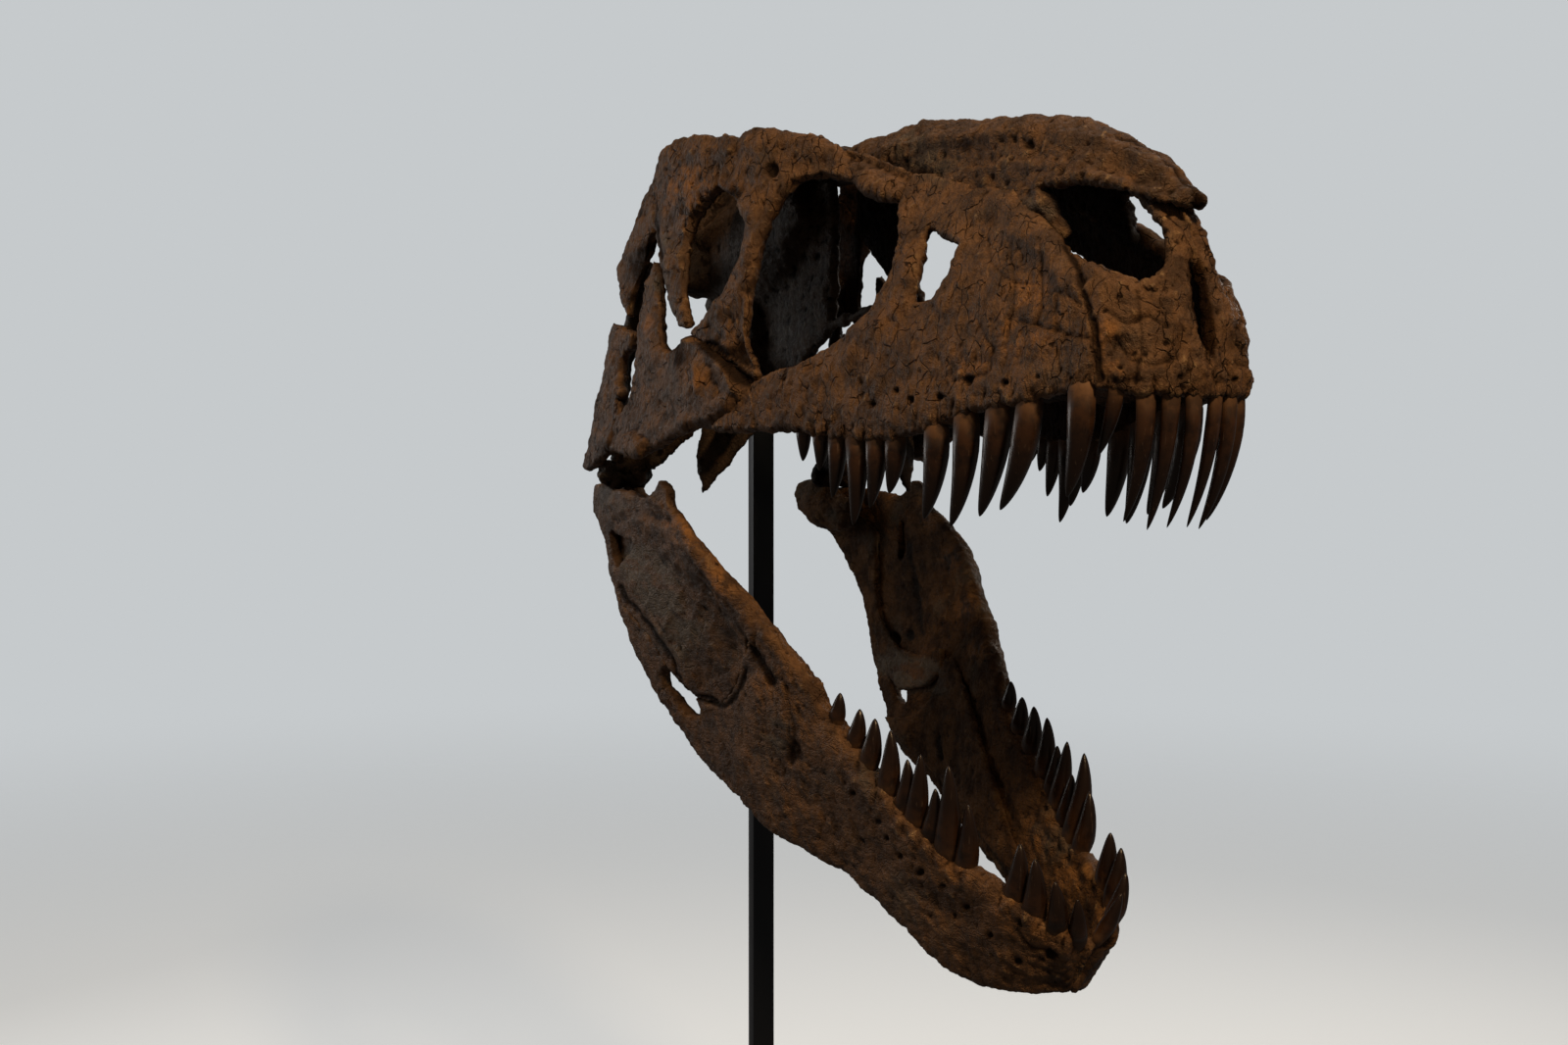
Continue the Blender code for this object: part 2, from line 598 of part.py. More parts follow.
def keep_largest(item):
    """Drop all but the largest connected body of a mesh."""
    data = bmesh.new()
    data.from_mesh(item.data)
    left = set(data.verts)
    bodies = []
    while left:
        seed = left.pop()
        body = {seed}
        front = [seed]
        while front:
            here = front.pop()
            for edge in here.link_edges:
                there = edge.other_vert(here)
                if there in left:
                    left.discard(there)
                    body.add(there)
                    front.append(there)
        bodies.append(body)
    bodies.sort(key=lambda body: -sum(f.calc_area() for f in {f for v in body for f in v.link_faces}))
    drop = [v for body in bodies[1:] for v in body]
    bmesh.ops.delete(data, geom=drop, context="VERTS")
    data.to_mesh(item.data)
    data.free()


def tidy_faces(item):
    """Merge the slivers that cutting leaves in flat faces."""
    data = bmesh.new()
    data.from_mesh(item.data)
    bmesh.ops.dissolve_limit(data, angle_limit=FLAT, verts=data.verts[:], edges=data.edges[:])
    bmesh.ops.triangulate(data, faces=data.faces[:])
    data.to_mesh(item.data)
    data.free()


def mirrored(item, name):
    """The left bone of a pair."""
    mesh = item.data.copy()
    mesh.name = name
    data = bmesh.new()
    data.from_mesh(mesh)
    for v in data.verts:
        v.co.y = -v.co.y
    bmesh.ops.reverse_faces(data, faces=data.faces[:])
    data.to_mesh(mesh)
    data.free()
    other = bpy.data.objects.new(name, mesh)
    bpy.context.scene.collection.objects.link(other)
    return other


def tooth(name, root, tip, width):
    """A curved conical tooth, its root sunk in the bone."""
    root, tip = np.array(root, float), np.array(tip, float)
    run = (tip - root) / np.linalg.norm(tip - root)
    wide = np.array((1.0, 0, 0)) - run * run[0]
    wide /= np.linalg.norm(wide)
    deep = np.cross(run, wide)
    length = np.linalg.norm(tip - root)
    verts = []
    for t, size in ((-TOOTH_ROOT / length, 1.0), TOOTH_WAIST):
        centre = root + (tip - root) * t + wide * TOOTH_BOW * length * max(0.0, t) * (1 - t) * 4
        for k in range(TOOTH_SIDES):
            turn = 2 * math.pi * k / TOOTH_SIDES
            verts.append(centre + wide * width * size * math.cos(turn)
                         + deep * width * TOOTH_FLATNESS * size * math.sin(turn))
    verts.append(tip)
    faces = [tuple(range(TOOTH_SIDES))]
    for k in range(TOOTH_SIDES):
        beside = (k + 1) % TOOTH_SIDES
        faces.append((k, beside, beside + TOOTH_SIDES, k + TOOTH_SIDES))
        faces.append((k + TOOTH_SIDES, beside + TOOTH_SIDES, len(verts) - 1))
    return make_object(name, verts, faces)


def add_teeth(item, teeth):
    """Fuse a row of teeth into the bone they grow from."""
    for root, tip, width in teeth:
        join(item, tooth("tooth", root, tip, width))


def premaxilla():
    """Front of the snout, with the process that rises between the nostrils."""
    suture = to_muzzle(PREMAXILLA_MAXILLA[::-1])
    outline = PREMAXILLA_LOW[:2] + suture + PREMAXILLA_NARIS + PREMAXILLA_MIDLINE
    item = plate("premaxilla_right", outline, muzzle, front_half, step=36, turn=-1)
    teeth = []
    for u, low, width in FRONT_TEETH:
        root = muzzle(u, 92.0)
        tip = root * (1, FRONT_TUCK, 0) + np.array((-FRONT_LEAN, 0, low))
        teeth.append((root, tip, width))
    add_teeth(item, teeth)
    return item


def front_half(u, z):
    """Half thickness of the premaxilla."""
    return np.interp(z, [90, 130, 200, 260], [10, 10, 8, 6])


def maxilla_half(x, z):
    """Half thickness of the maxilla: thick along the tooth row."""
    return np.interp(z, [55, 95, 150, 340], [12, 11, 8, 7])


def maxilla():
    """The large tooth-bearing plate of the upper jaw."""
    item = plate("maxilla_right", MAXILLA, cheek, maxilla_half, step=56, holes=[MAXILLARY_FENESTRA])
    join(item, slab("shelf", PALATAL_SHELF, 4.5))
    teeth = []
    for x, tip_x, tip_z, width in UPPER_TEETH:
        z = float(np.interp(x, *zip(*UPPER_ROW)))
        root = cheek(x, z + 4.0)
        tip = cheek(tip_x, 60.0) * (1, SIDE_TUCK, 0) + np.array((0, 0, tip_z))
        teeth.append((root, tip, width))
    add_teeth(item, teeth)
    return item


def nasals():
    """The fused, rugged roof of the snout."""
    outline = NASAL_SIDE + [(NASAL_NOTCH, 0)] + [(x, -v) for x, v in NASAL_SIDE[::-1]]
    return plate("nasals", outline, vault, nasal_half, step=52, turn=-1)


def nasal_half(x, v):
    """Half thickness of the nasal bones, which thin out towards their tip."""
    return np.interp(x, [880, 972], [8, 4]) + 0 * v


def bar_half(x, z):
    """Half thickness of the bones round the eye: their bars are thinner than their tops."""
    return np.interp(z, [190, 340, 400], [7, 9, 12]) + 0 * x


def lacrimal():
    """The bone in front of the eye, with its descending bar."""
    return plate("lacrimal_right", LACRIMAL, cheek, bar_half, step=30)


def postorbital():
    """The bone behind the eye."""
    return plate("postorbital_right", POSTORBITAL, cheek, bar_half, step=34)


def squamosal():
    """The rear upper corner of the cheek."""
    return plate("squamosal_right", SQUAMOSAL, cheek, bar_half, step=34)


def jugal():
    """The cheek bone below the eye."""
    return plate("jugal_right", JUGAL, cheek, 8, step=34)


def quadratojugal():
    """The rear lower corner of the cheek."""
    return plate("quadratojugal_right", QUADRATOJUGAL, cheek, 8, step=32)


def dentary():
    """The tooth-bearing front of the lower jaw."""
    item = plate("dentary_right", DENTARY, jaw_side, dentary_half, step=60)
    teeth = []
    for x, tip_x, tip_z, width in LOWER_TEETH:
        root = jaw_side(x, float(np.interp(x, *zip(*LOWER_ROW))) - 4.0)
        tip = jaw_side(tip_x, 0.0) * (1, SIDE_TUCK, 0) + np.array((0, 0, tip_z))
        teeth.append((root, tip, width))
    add_teeth(item, teeth)
    return item


def dentary_half(x, z):
    """Half thickness of the dentary."""
    return np.interp(x, [270, 400, 520, 800, 940], [8, 11, 14, 13, 9])


def inner_jaw(depth):
    """The jaw's surface moved towards the mouth."""
    def place(x, z):
        inward = depth(x, z) if callable(depth) else depth + 0 * np.asarray(x, float)
        return jaw_side(x, z) + np.stack([0 * inward, inward, 0 * inward], -1)
    return place


def surangular():
    """The rear upper bone of the lower jaw."""
    return plate("surangular_right", SURANGULAR, jaw_side, SURANGULAR_HALF, step=44,
                 holes=[SURANGULAR_FORAMEN])


def angular():
    """The rear lower bone of the lower jaw."""
    return plate("angular_right", ANGULAR, jaw_side, 8, step=40)


def slot():
    """The sloping slot through the left lower jaw, as the body to be cut out."""
    verts = [(x + SLOT_RUN[0] * out, SLOT_MIDDLE + out, z + SLOT_RUN[1] * out)
             for out in (-SLOT_REACH, SLOT_REACH) for x, z in SLOT]
    faces = [(0, 1, 2, 3), (7, 6, 5, 4), (0, 4, 5, 1), (1, 5, 6, 2), (2, 6, 7, 3), (3, 7, 4, 0)]
    return make_object("slot", verts, faces)


def splenial():
    """The thin plate on the inside of the lower jaw."""
    def depth(x, z):
        return dentary_half(x, z) + SPLENIAL_HALF + PLAY
    return plate("splenial_right", SPLENIAL, inner_jaw(depth), SPLENIAL_HALF, step=60)


def prearticular():
    """The curved bone on the inside of the rear jaw."""
    depth = SURANGULAR_HALF + PREARTICULAR_HALF + PLAY
    return plate("prearticular_right", PREARTICULAR, inner_jaw(depth), PREARTICULAR_HALF, step=50)


def articular():
    """The block that holds the socket of the jaw joint."""
    return limb("articular_right", ARTICULAR, sides=8)


def quadrate():
    """The pillar that ends below in the roller of the jaw joint."""
    item = limb("quadrate_right", QUADRATE_ROLLER, sides=6, across=(1, 0, 0))
    return join(item, limb("shaft", QUADRATE_SHAFT), slab("wing", QUADRATE_WING, 4.5))


def pterygoid():
    """The long bone of the palate, with the flange that hangs beside the jaw."""
    item = slab("pterygoid_right", PTERYGOID, 4.5)
    return join(item, slab("flange", PTERYGOID_FLANGE, 7), limb("strut", PTERYGOID_STRUT))


def palatine():
    """The plate of the palate between cheek and midline."""
    return slab("palatine_right", PALATINE, 4.5)


def vomer():
    """The narrow bone of the front palate."""
    return limb("vomer", VOMER, sides=4)


def braincase():
    """Skull roof, braincase and occiput, grown together."""
    item = slab("braincase", ROOF, 9)
    parts = [limb("walls", BRAIN_BOX, sides=6), limb("crest", SAGITTAL_CREST, sides=4),
             slab("nuchal", NUCHAL_CREST, 8), slab("septum", SEPTUM, 9),
             limb("stem", BASISPHENOID, sides=6),
             limb("condyle", OCCIPITAL_CONDYLE, sides=6), limb("rostrum", ROSTRUM, sides=4)]
    for side in (1, -1):
        for name, path in (("paroccipital", PAROCCIPITAL), ("basipterygoid", BASIPTERYGOID)):
            parts.append(limb(name, [(x, y * side, z, a, b) for x, y, z, a, b in path], sides=4))
    join(item, *parts)
    combine(item, upright("socket", POST_SIDE + 2 * FIT, SOCKET_FOOT, POST_TOP + FIT), "DIFFERENCE")
    return item


def post():
    """The square steel post, its top inside the braincase."""
    return upright("post", POST_SIDE, BASE_THICK + FIT - JOINT_HEIGHT, POST_TOP)


def base_plate():
    """The round steel base, its upper edge bevelled."""
    mesh = bpy.data.meshes.new("base_plate")
    data = bmesh.new()
    bmesh.ops.create_cone(data, cap_ends=True, segments=BASE_SIDES, radius1=BASE_RADIUS,
                          radius2=BASE_RADIUS, depth=BASE_THICK)
    rim = [e for e in data.edges if all(v.co.z > 0 for v in e.verts) and len(e.link_faces) == 2]
    bmesh.ops.bevel(data, geom=rim, offset=BASE_EDGE, segments=1, affect="EDGES")
    for v in data.verts:
        v.co += Vector((POST_X, 0, BASE_THICK / 2 - JOINT_HEIGHT))
    data.to_mesh(mesh)
    data.free()
    item = bpy.data.objects.new("base_plate", mesh)
    bpy.context.scene.collection.objects.link(item)
    return item


def settle(item, parent, material, home):
    """Give a bone its material, metres, an origin at its own middle and a parent."""
    tidy_faces(item)
    mesh = item.data
    data = bmesh.new()
    data.from_mesh(mesh)
    middle = sum((v.co for v in data.verts), Vector()) / len(data.verts)
    middle = Vector([round(c) for c in middle])
    for v in data.verts:
        v.co = (v.co - middle) * MM
    data.to_mesh(mesh)
    data.free()
    mesh.materials.clear()
    mesh.materials.append(material)
    for holder in list(item.users_collection):
        holder.objects.unlink(item)
    home.objects.link(item)
    item.location = middle * MM
    item.parent = parent


def both(item):
    """A right bone with its left twin."""
    return item, mirrored(item, item.name.replace("_right", "_left"))


def build_cranium():
    """The bones of the upper skull, each cut clear of those it meets."""
    roof, keel, brain = nasals(), vomer(), braincase()
    fronts, cheeks, tears, eyes = both(premaxilla()), both(maxilla()), both(lacrimal()), both(postorbital())
    corners, malars, hinges = both(squamosal()), both(jugal()), both(quadratojugal())
    pillars, wings, shelves = both(quadrate()), both(pterygoid()), both(palatine())
    for item in fronts + cheeks + tears:
        clear_of(item, roof)
    for side in (0, 1):
        clear_of(pillars[side], corners[side], hinges[side])
        clear_of(wings[side], malars[side], pillars[side])
        clear_of(shelves[side], cheeks[side], malars[side], wings[side])
    clear_of(brain, roof, *tears, *eyes, *corners, *pillars, *wings)
    clear_of(keel, *fronts, *cheeks, *wings, *shelves)
    sides = fronts + cheeks + tears + eyes + corners + malars + hinges + wings + shelves
    return (roof, keel, brain) + sides, pillars


def build_jaws(pillars):
    """The bones of the lower jaw, in its own frame."""
    rows, uppers, lowers = both(dentary()), both(surangular()), both(angular())
    sockets, plates, curves = both(articular()), both(splenial()), both(prearticular())
    combine(uppers[1], slot(), "DIFFERENCE")
    for side in (0, 1):
        pillars[side].rotation_euler = (0, -GAPE, 0)
        clear_of(uppers[side], pillars[side])
        clear_of(sockets[side], pillars[side], uppers[side])
        pillars[side].rotation_euler = (0, 0, 0)
        clear_of(curves[side], sockets[side], uppers[side], lowers[side], rows[side])
        clear_of(plates[side], curves[side], rows[side])
    return rows + uppers + lowers + sockets + plates + curves


def main():
    """Build the skull and its stand."""
    clear_scene()
    home = bpy.data.collections.new("daspletosaurus_skull")
    bpy.context.scene.collection.children.link(home)
    bone = principled("bone", BONE_COLOUR, 0.6)
    steel = principled("black_steel", STEEL_COLOUR, 0.45, 0.6)
    cranium = bpy.data.objects.new("cranium", None)
    jaws = bpy.data.objects.new("lower_jaw", None)
    for empty in (cranium, jaws):
        empty.location = (-POST_X * MM, 0, JOINT_HEIGHT * MM)
        home.objects.link(empty)
    jaws.rotation_euler = (0, GAPE, 0)

    upper, pillars = build_cranium()
    for item in build_jaws(pillars):
        settle(item, jaws, bone, home)
    for item in upper + pillars:
        settle(item, cranium, bone, home)
    for item in (post(), base_plate()):
        settle(item, cranium, steel, home)


if __name__ == "__main__":
    main()
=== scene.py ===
# %% [markdown]
# This lesson dresses the cast of a large dinosaur skull, mounted with its jaws open on a
# square steel post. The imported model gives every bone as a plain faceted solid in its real
# place. Each bone is turned here into a finely meshed one with the relief of old bone, and
# the teeth are made again as smooth curved cones.
#
# The solids come first, because everything that follows is grown from them.

# %% Load the solids
import math

import bmesh
import bpy
import numpy as np
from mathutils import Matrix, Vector
from mathutils.bvhtree import BVHTree


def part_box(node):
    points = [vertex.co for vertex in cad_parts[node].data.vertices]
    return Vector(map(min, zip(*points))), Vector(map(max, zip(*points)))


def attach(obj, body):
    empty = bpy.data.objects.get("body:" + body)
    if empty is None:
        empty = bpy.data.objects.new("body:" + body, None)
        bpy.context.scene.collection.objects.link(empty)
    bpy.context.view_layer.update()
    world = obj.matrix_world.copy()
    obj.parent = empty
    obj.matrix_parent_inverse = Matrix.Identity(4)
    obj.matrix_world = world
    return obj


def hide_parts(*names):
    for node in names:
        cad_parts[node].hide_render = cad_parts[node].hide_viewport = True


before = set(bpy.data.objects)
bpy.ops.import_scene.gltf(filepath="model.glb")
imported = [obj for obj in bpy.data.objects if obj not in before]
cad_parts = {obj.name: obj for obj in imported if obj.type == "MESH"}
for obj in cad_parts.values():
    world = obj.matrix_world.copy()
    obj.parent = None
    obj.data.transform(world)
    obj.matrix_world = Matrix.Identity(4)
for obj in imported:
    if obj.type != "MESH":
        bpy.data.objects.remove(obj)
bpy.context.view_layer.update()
print("bones and stand:", len(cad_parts), "solids")

# %% [markdown]
# The camera stands where the photographer stood: level with the jaw joint, ahead of the
# skull and to its right. Its lens is worked out from a focal length in the picture's pixels.
# The same numbers turn a point of the skull into a place in the picture, and later cells
# use that to set cracks and pits where the real ones are.

# %% Camera
PICTURE_WIDE = 1600
PICTURE_HIGH = 1066
FOCAL_PIXELS = 1777
SENSOR = 36.0
EYE = np.array((2.172, -1.157, 1.40))
HEADING = math.radians(61.2)
DIP = math.radians(1.31)

forward = np.array((-math.sin(HEADING) * math.cos(DIP), math.cos(HEADING) * math.cos(DIP),
                    -math.sin(DIP)))
rightward = np.cross(forward, (0, 0, 1))
rightward /= np.linalg.norm(rightward)
upward = np.cross(rightward, forward)

camera = bpy.data.objects.new("camera", bpy.data.cameras.new("camera"))
camera.data.sensor_width = SENSOR
camera.data.lens = FOCAL_PIXELS / PICTURE_WIDE * SENSOR
camera.data.clip_start = 0.01
camera.location = EYE
camera.rotation_euler = Vector(forward).to_track_quat("-Z", "Y").to_euler()
bpy.context.scene.collection.objects.link(camera)
bpy.context.scene.camera = camera


def to_picture(points):
    """Places in the picture, in its own pixels, of points in the row frame."""
    ray = points - EYE
    depth = ray @ forward
    across = PICTURE_WIDE / 2 + FOCAL_PIXELS * (ray @ rightward) / depth
    down = PICTURE_HIGH / 2 - FOCAL_PIXELS * (ray @ upward) / depth
    return np.stack([across, down], -1)


print("lens", round(camera.data.lens, 2), "mm")

# %% [markdown]
# Old bone has relief at every scale, so the lesson needs a noise that works on whole
# arrays of points. This one is value noise: a hash gives each corner of a lattice a
# number, and a smooth step blends the eight corners round a point. Several octaves, each
# turned a little, hide the lattice. Blender's own noise takes one point at a time, which
# would be slow for half a million of them.

# %% Smooth noise
HASH = (73856093, 19349663, 83492791)
SEED_FACTOR = 2654435761
MIX_FACTOR = 1274126177
BITS_32 = 0xFFFFFFFF
BITS_24 = 0xFFFFFF
BITS_23 = 0x7FFFFF
OCTAVE_SHIFT = 17.3
OCTAVE_FINER = 2.03
OCTAVE_TURN = np.array(((0.36, 0.48, -0.80), (-0.80, 0.60, 0.00), (0.48, 0.64, 0.60)))


def lattice(cell, seed):
    """A number from -1 to 1 for each corner of the lattice."""
    h = (cell[:, 0] * HASH[0]) ^ (cell[:, 1] * HASH[1]) ^ (cell[:, 2] * HASH[2]) ^ (seed * SEED_FACTOR)
    h = (h ^ (h >> 13)) * MIX_FACTOR & BITS_32
    h = (h ^ (h >> 16)) & BITS_24
    return h / BITS_23 - 1.0


def noise(p, seed):
    """Smooth noise of points given in lattice units."""
    cell = np.floor(p).astype(np.int64)
    f = p - cell
    f = f * f * f * (f * (f * 6 - 15) + 10)
    total = np.zeros(len(p))
    for corner in range(8):
        step = np.array((corner & 1, corner >> 1 & 1, corner >> 2 & 1))
        weight = np.prod(np.where(step, f, 1 - f), axis=1)
        total += weight * lattice(cell + step, seed)
    return total


def octaves(p, size, seed, count=4, fade=0.5):
    """Noise with finer noise on it, its coarsest lumps of a given size."""
    total = np.zeros(len(p))
    q = p / size
    strength = 1.0
    for k in range(count):
        total += strength * noise(q + OCTAVE_SHIFT * k, seed + k)
        q = q @ OCTAVE_TURN.T * OCTAVE_FINER
        strength *= fade
    return total


sample = octaves(np.linspace((0, 0, 0), (1, 1, 1), 500), 0.1, 1)
print("noise on a line from", round(sample.min(), 2), "to", round(sample.max(), 2))

# %% [markdown]
# Cracks need another noise: random cells, as dried mud has them, where only the borders
# between the cells count. Each lattice cell holds one point that strays from its middle,
# and a place is on a border where its two nearest points are equally far. Grain comes from
# the same noises on squeezed points, which runs them out into streaks.

# %% Cracks and streaks
CELL_STRAY = 0.42
FAR_AWAY = 9.0


def cell_edges(p, size, seed):
    """Distance of points from the borders between random cells, in cells."""
    q = p / size
    base = np.floor(q).astype(np.int64)
    first = np.full(len(p), FAR_AWAY)
    second = np.full(len(p), FAR_AWAY)
    for step in np.ndindex(3, 3, 3):
        cell = base + np.array(step) - 1
        centre = cell + 0.5 + CELL_STRAY * np.stack([lattice(cell, seed + k) for k in range(3)], -1)
        gap = np.linalg.norm(q - centre, axis=1)
        second = np.minimum(second, np.maximum(first, gap))
        first = np.minimum(first, gap)
    return second - first


def stretched(p, along, long, short):
    """Points squeezed so that noise on them runs out into streaks."""
    along = np.array(along, float) / np.linalg.norm(along)
    part = (p @ along)[:, None] * along
    return (p - part) / short + part / long


borders = cell_edges(np.linspace((0, 0, 0), (1, 1, 1), 500), 0.1, 1)
print("share of a line that lies near a border", round(np.mean(borders < 0.1), 2))

# %% [markdown]
# The photo shows cracks, grooves, ridges and small holes for nerves in definite places.
# Each is written as a short line or a point in the picture. A bone's vertex is carried
# into the picture by the camera's numbers, and its distance from the line there says how
# deep it is pressed in. The left bones are the mirror of the right ones, so a point on
# either side is looked up at its place on the right. Marks on the inside of the jaw are
# seen on the far half, so those are looked up on the left. Thin cracks and holes also get
# painted shade in them, which the second number says.

# %% Lines on the skull
# Bones, width in pixels, depth in millimetres (minus for a ridge), points
SKULL_LINES = [
    # the horn and the bar in front of the eye
    ("lacrimal", 9, -4.5, [(760, 150), (800, 142), (850, 156)]),
    ("lacrimal", 7, 3.0, [(812, 166), (858, 172)]),
    ("lacrimal", 7, -3.0, [(800, 198), (838, 180), (880, 192), (905, 202)]),
    ("lacrimal", 16, -4.5, [(888, 182), (902, 188)]),
    ("lacrimal", 9, -5.0, [(766, 205), (768, 240), (758, 280)]),
    ("lacrimal", 7, -4.0, [(752, 295), (728, 322), (706, 342)]),
    ("lacrimal", 6, -3.5, [(764, 300), (767, 335), (774, 372)]),
    ("lacrimal", 8, 5.5, [(744, 326), (752, 345), (760, 366)]),
    ("lacrimal", 2.0, 2.0, [(757, 296), (774, 303)]),
    ("nasals lacrimal", 5, 6.0, [(866, 156), (892, 166), (918, 178), (946, 188), (978, 192)]),
    ("lacrimal postorbital", 5, 4.0, [(755, 138), (752, 158), (742, 180)]),
    # the boss and the bar behind the eye
    ("postorbital", 18, -5.0, [(686, 176), (700, 190)]),
    ("postorbital", 11, 4.5, [(734, 176), (742, 200)]),
    ("postorbital", 7, -3.5, [(676, 222), (684, 270), (692, 316)]),
    ("postorbital", 4, 3.0, [(668, 200), (671, 232), (674, 262)]),
    ("postorbital", 6, -2.5, [(728, 206), (704, 236), (700, 290)]),
    ("squamosal", 4, -4.0, [(641, 261), (652, 250), (666, 237)]),
    ("squamosal", 9, 6.0, [(651, 290), (655, 270), (664, 254)]),
    ("squamosal", 6, -2.5, [(640, 225), (628, 262), (634, 306)]),
    # the cheek: a raised triangle with a notched ridge, hollow behind it
    ("lacrimal jugal", 6, 8.0, [(724, 353), (744, 368), (757, 384), (768, 390)]),
    ("jugal", 12, -3.0, [(700, 372), (712, 400), (740, 412)]),
    ("jugal", 5, 5.0, [(726, 374), (731, 388), (738, 402)]),
    ("jugal", 3.5, -3.5, [(714, 374), (717, 390), (720, 405)]),
    ("jugal", 4, -3.5, [(698, 348), (718, 353), (738, 368), (752, 390), (759, 408)]),
    ("jugal", 7, -3.5, [(664, 292), (660, 335), (668, 366)]),
    ("jugal", 9, 3.0, [(676, 376), (668, 400), (690, 424)]),
    ("jugal", 10, -4.0, [(650, 452), (662, 440), (700, 432)]),
    ("quadratojugal", 6, -3.0, [(626, 345), (622, 380), (616, 420)]),
    ("quadratojugal", 9, -4.0, [(612, 446), (622, 452)]),
    # the large plate over the teeth
    ("maxilla", 10, -3.5, [(776, 408), (846, 376), (892, 338), (922, 300)]),
    ("maxilla", 8, -3.5, [(922, 215), (927, 250), (924, 286)]),
    ("maxilla", 8, -3.0, [(984, 250), (978, 290), (960, 312)]),
    ("maxilla", 13, 2.2, [(880, 398), (1000, 374), (1092, 362)]),
    ("maxilla", 13, -3.0, [(1030, 212), (1066, 250), (1088, 290)]),
    ("maxilla", 16, 2.5, [(1000, 232), (1040, 268)]),
    ("maxilla premaxilla", 3.5, 5.0, [(1088, 252), (1100, 275), (1108, 300), (1116, 330), (1119, 360),
                                      (1123, 388)]),
    ("maxilla", 2.2, 2.2, [(1040, 326), (1062, 332), (1082, 338), (1112, 346)]),
    ("maxilla", 2.0, 2.0, [(1066, 250), (1062, 280), (1061, 312), (1056, 330)]),
    ("maxilla", 2.0, 1.6, [(1070, 299), (1088, 298), (1101, 311)]),
    ("maxilla", 2.0, 1.6, [(1004, 240), (1010, 268), (1030, 286), (1058, 290)]),
    ("maxilla", 2.6, 2.2, [(972, 388), (990, 386), (1008, 378), (1012, 356)]),
    ("maxilla", 2.2, 1.5, [(1030, 252), (1034, 300), (1028, 345)]),
    ("maxilla", 2.2, 1.5, [(1008, 300), (1000, 332), (1010, 352)]),
    ("maxilla", 2.0, 1.4, [(1078, 310), (1074, 350), (1080, 380)]),
    # the front of the snout
    ("premaxilla", 8, -2.5, [(1112, 276), (1150, 292), (1190, 290)]),
    ("premaxilla", 10, -3.0, [(1198, 250), (1202, 290), (1206, 330)]),
    ("premaxilla", 2.4, 2.4, [(1130, 318), (1150, 330), (1172, 322), (1192, 334)]),
    ("premaxilla", 2.4, 2.0, [(1140, 345), (1152, 366), (1176, 372), (1200, 366)]),
    ("premaxilla", 2.2, 2.0, [(1160, 300), (1166, 345), (1160, 385)]),
    # the rough roof of the snout
    ("nasals", 9, -3.5, [(920, 135), (1000, 130), (1070, 128), (1130, 150), (1190, 178), (1220, 204)]),
    ("nasals", 8, 2.5, [(950, 158), (1010, 162), (1070, 155), (1130, 172), (1170, 190)]),
    ("nasals", 6, -3.5, [(1062, 184), (1108, 178), (1150, 188), (1190, 204)]),
    ("nasals", 9, -3.5, [(1036, 190), (1060, 212), (1082, 236)]),
    ("nasals", 3, 3.0, [(1140, 140), (1172, 152), (1196, 172), (1212, 192)]),
    # the joint
    ("quadrate", 6, 5.0, [(634, 462), (640, 500)]),
    ("quadrate", 5, 4.0, [(612, 476), (630, 482), (660, 480)]),
    ("quadratojugal", 6, -4.0, [(640, 440), (654, 456), (656, 472)]),
    ("nasals", 7, -3.5, [(942, 120), (960, 112), (990, 116)]),
    ("nasals", 7, -3.5, [(1020, 112), (1046, 108)]),
    ("nasals", 6, 3.5, [(1000, 118), (1008, 130), (1004, 146)]),
    ("postorbital", 9, -3.5, [(712, 160), (738, 154)]),
    ("lacrimal", 7, 4.5, [(734, 344), (750, 352), (760, 372)]),
]
print(len(SKULL_LINES), "lines on the skull")

# %% [markdown]
# The lower jaw has fewer lines: the seams between its bones, the long shelf along its top,
# and faint ridges that fan out over its rear plate.

# %% Lines on the lower jaw
JAW_LINES = [
    ("surangular", 9, -6.0, [(640, 522), (690, 546), (735, 602), (775, 656), (795, 690)]),
    ("surangular", 12, 4.0, [(668, 572), (712, 618), (742, 662)]),
    ("surangular angular", 3, 3.5, [(633, 598), (638, 612), (651, 624), (668, 648), (684, 672),
                                    (694, 696)]),
    ("surangular dentary", 3, 4.0, [(708, 711), (727, 715), (739, 721), (748, 713), (755, 698),
                                    (760, 684)]),
    ("surangular dentary", 4, 6.0, [(765, 657), (776, 677), (787, 696)]),
    ("surangular", 2.4, 1.8, [(700, 560), (730, 600), (748, 620), (764, 655)]),
    ("dentary", 2.0, 1.6, [(800, 700), (812, 740), (806, 780)]),
    ("dentary", 12, -3.0, [(800, 730), (880, 800), (960, 876), (1040, 930), (1092, 950)]),
    ("dentary", 12, 2.5, [(780, 770), (860, 842), (940, 912), (1020, 962)]),
    ("dentary", 6, 5.0, [(1098, 948), (1104, 972), (1100, 1000)]),
    ("dentary", 7, -4.0, [(1086, 912), (1090, 940), (1086, 968)]),
    ("dentary", 8, -4.0, [(1116, 930), (1134, 948)]),
    ("dentary", 2.4, 2.2, [(1040, 948), (1052, 966), (1078, 972)]),
    # ridges that fan out over the rear of the jaw, and the shelf above them
    ("surangular", 3.4, -1.5, [(690, 552), (664, 574), (645, 598)]),
    ("surangular", 3.4, -1.5, [(696, 566), (674, 594), (658, 622)]),
    ("surangular", 3.4, -1.5, [(704, 580), (688, 612), (676, 646)]),
    ("surangular", 3.4, -1.5, [(714, 596), (704, 634), (698, 672)]),
    ("surangular", 3.0, -1.0, [(726, 616), (722, 650), (720, 690)]),
    ("surangular", 4, -4.0, [(622, 514), (655, 505), (672, 514)]),
    ("surangular", 7, 5.0, [(716, 596), (738, 634), (752, 672)]),
    ("surangular", 5, 4.0, [(628, 532), (652, 522), (680, 530)]),
]
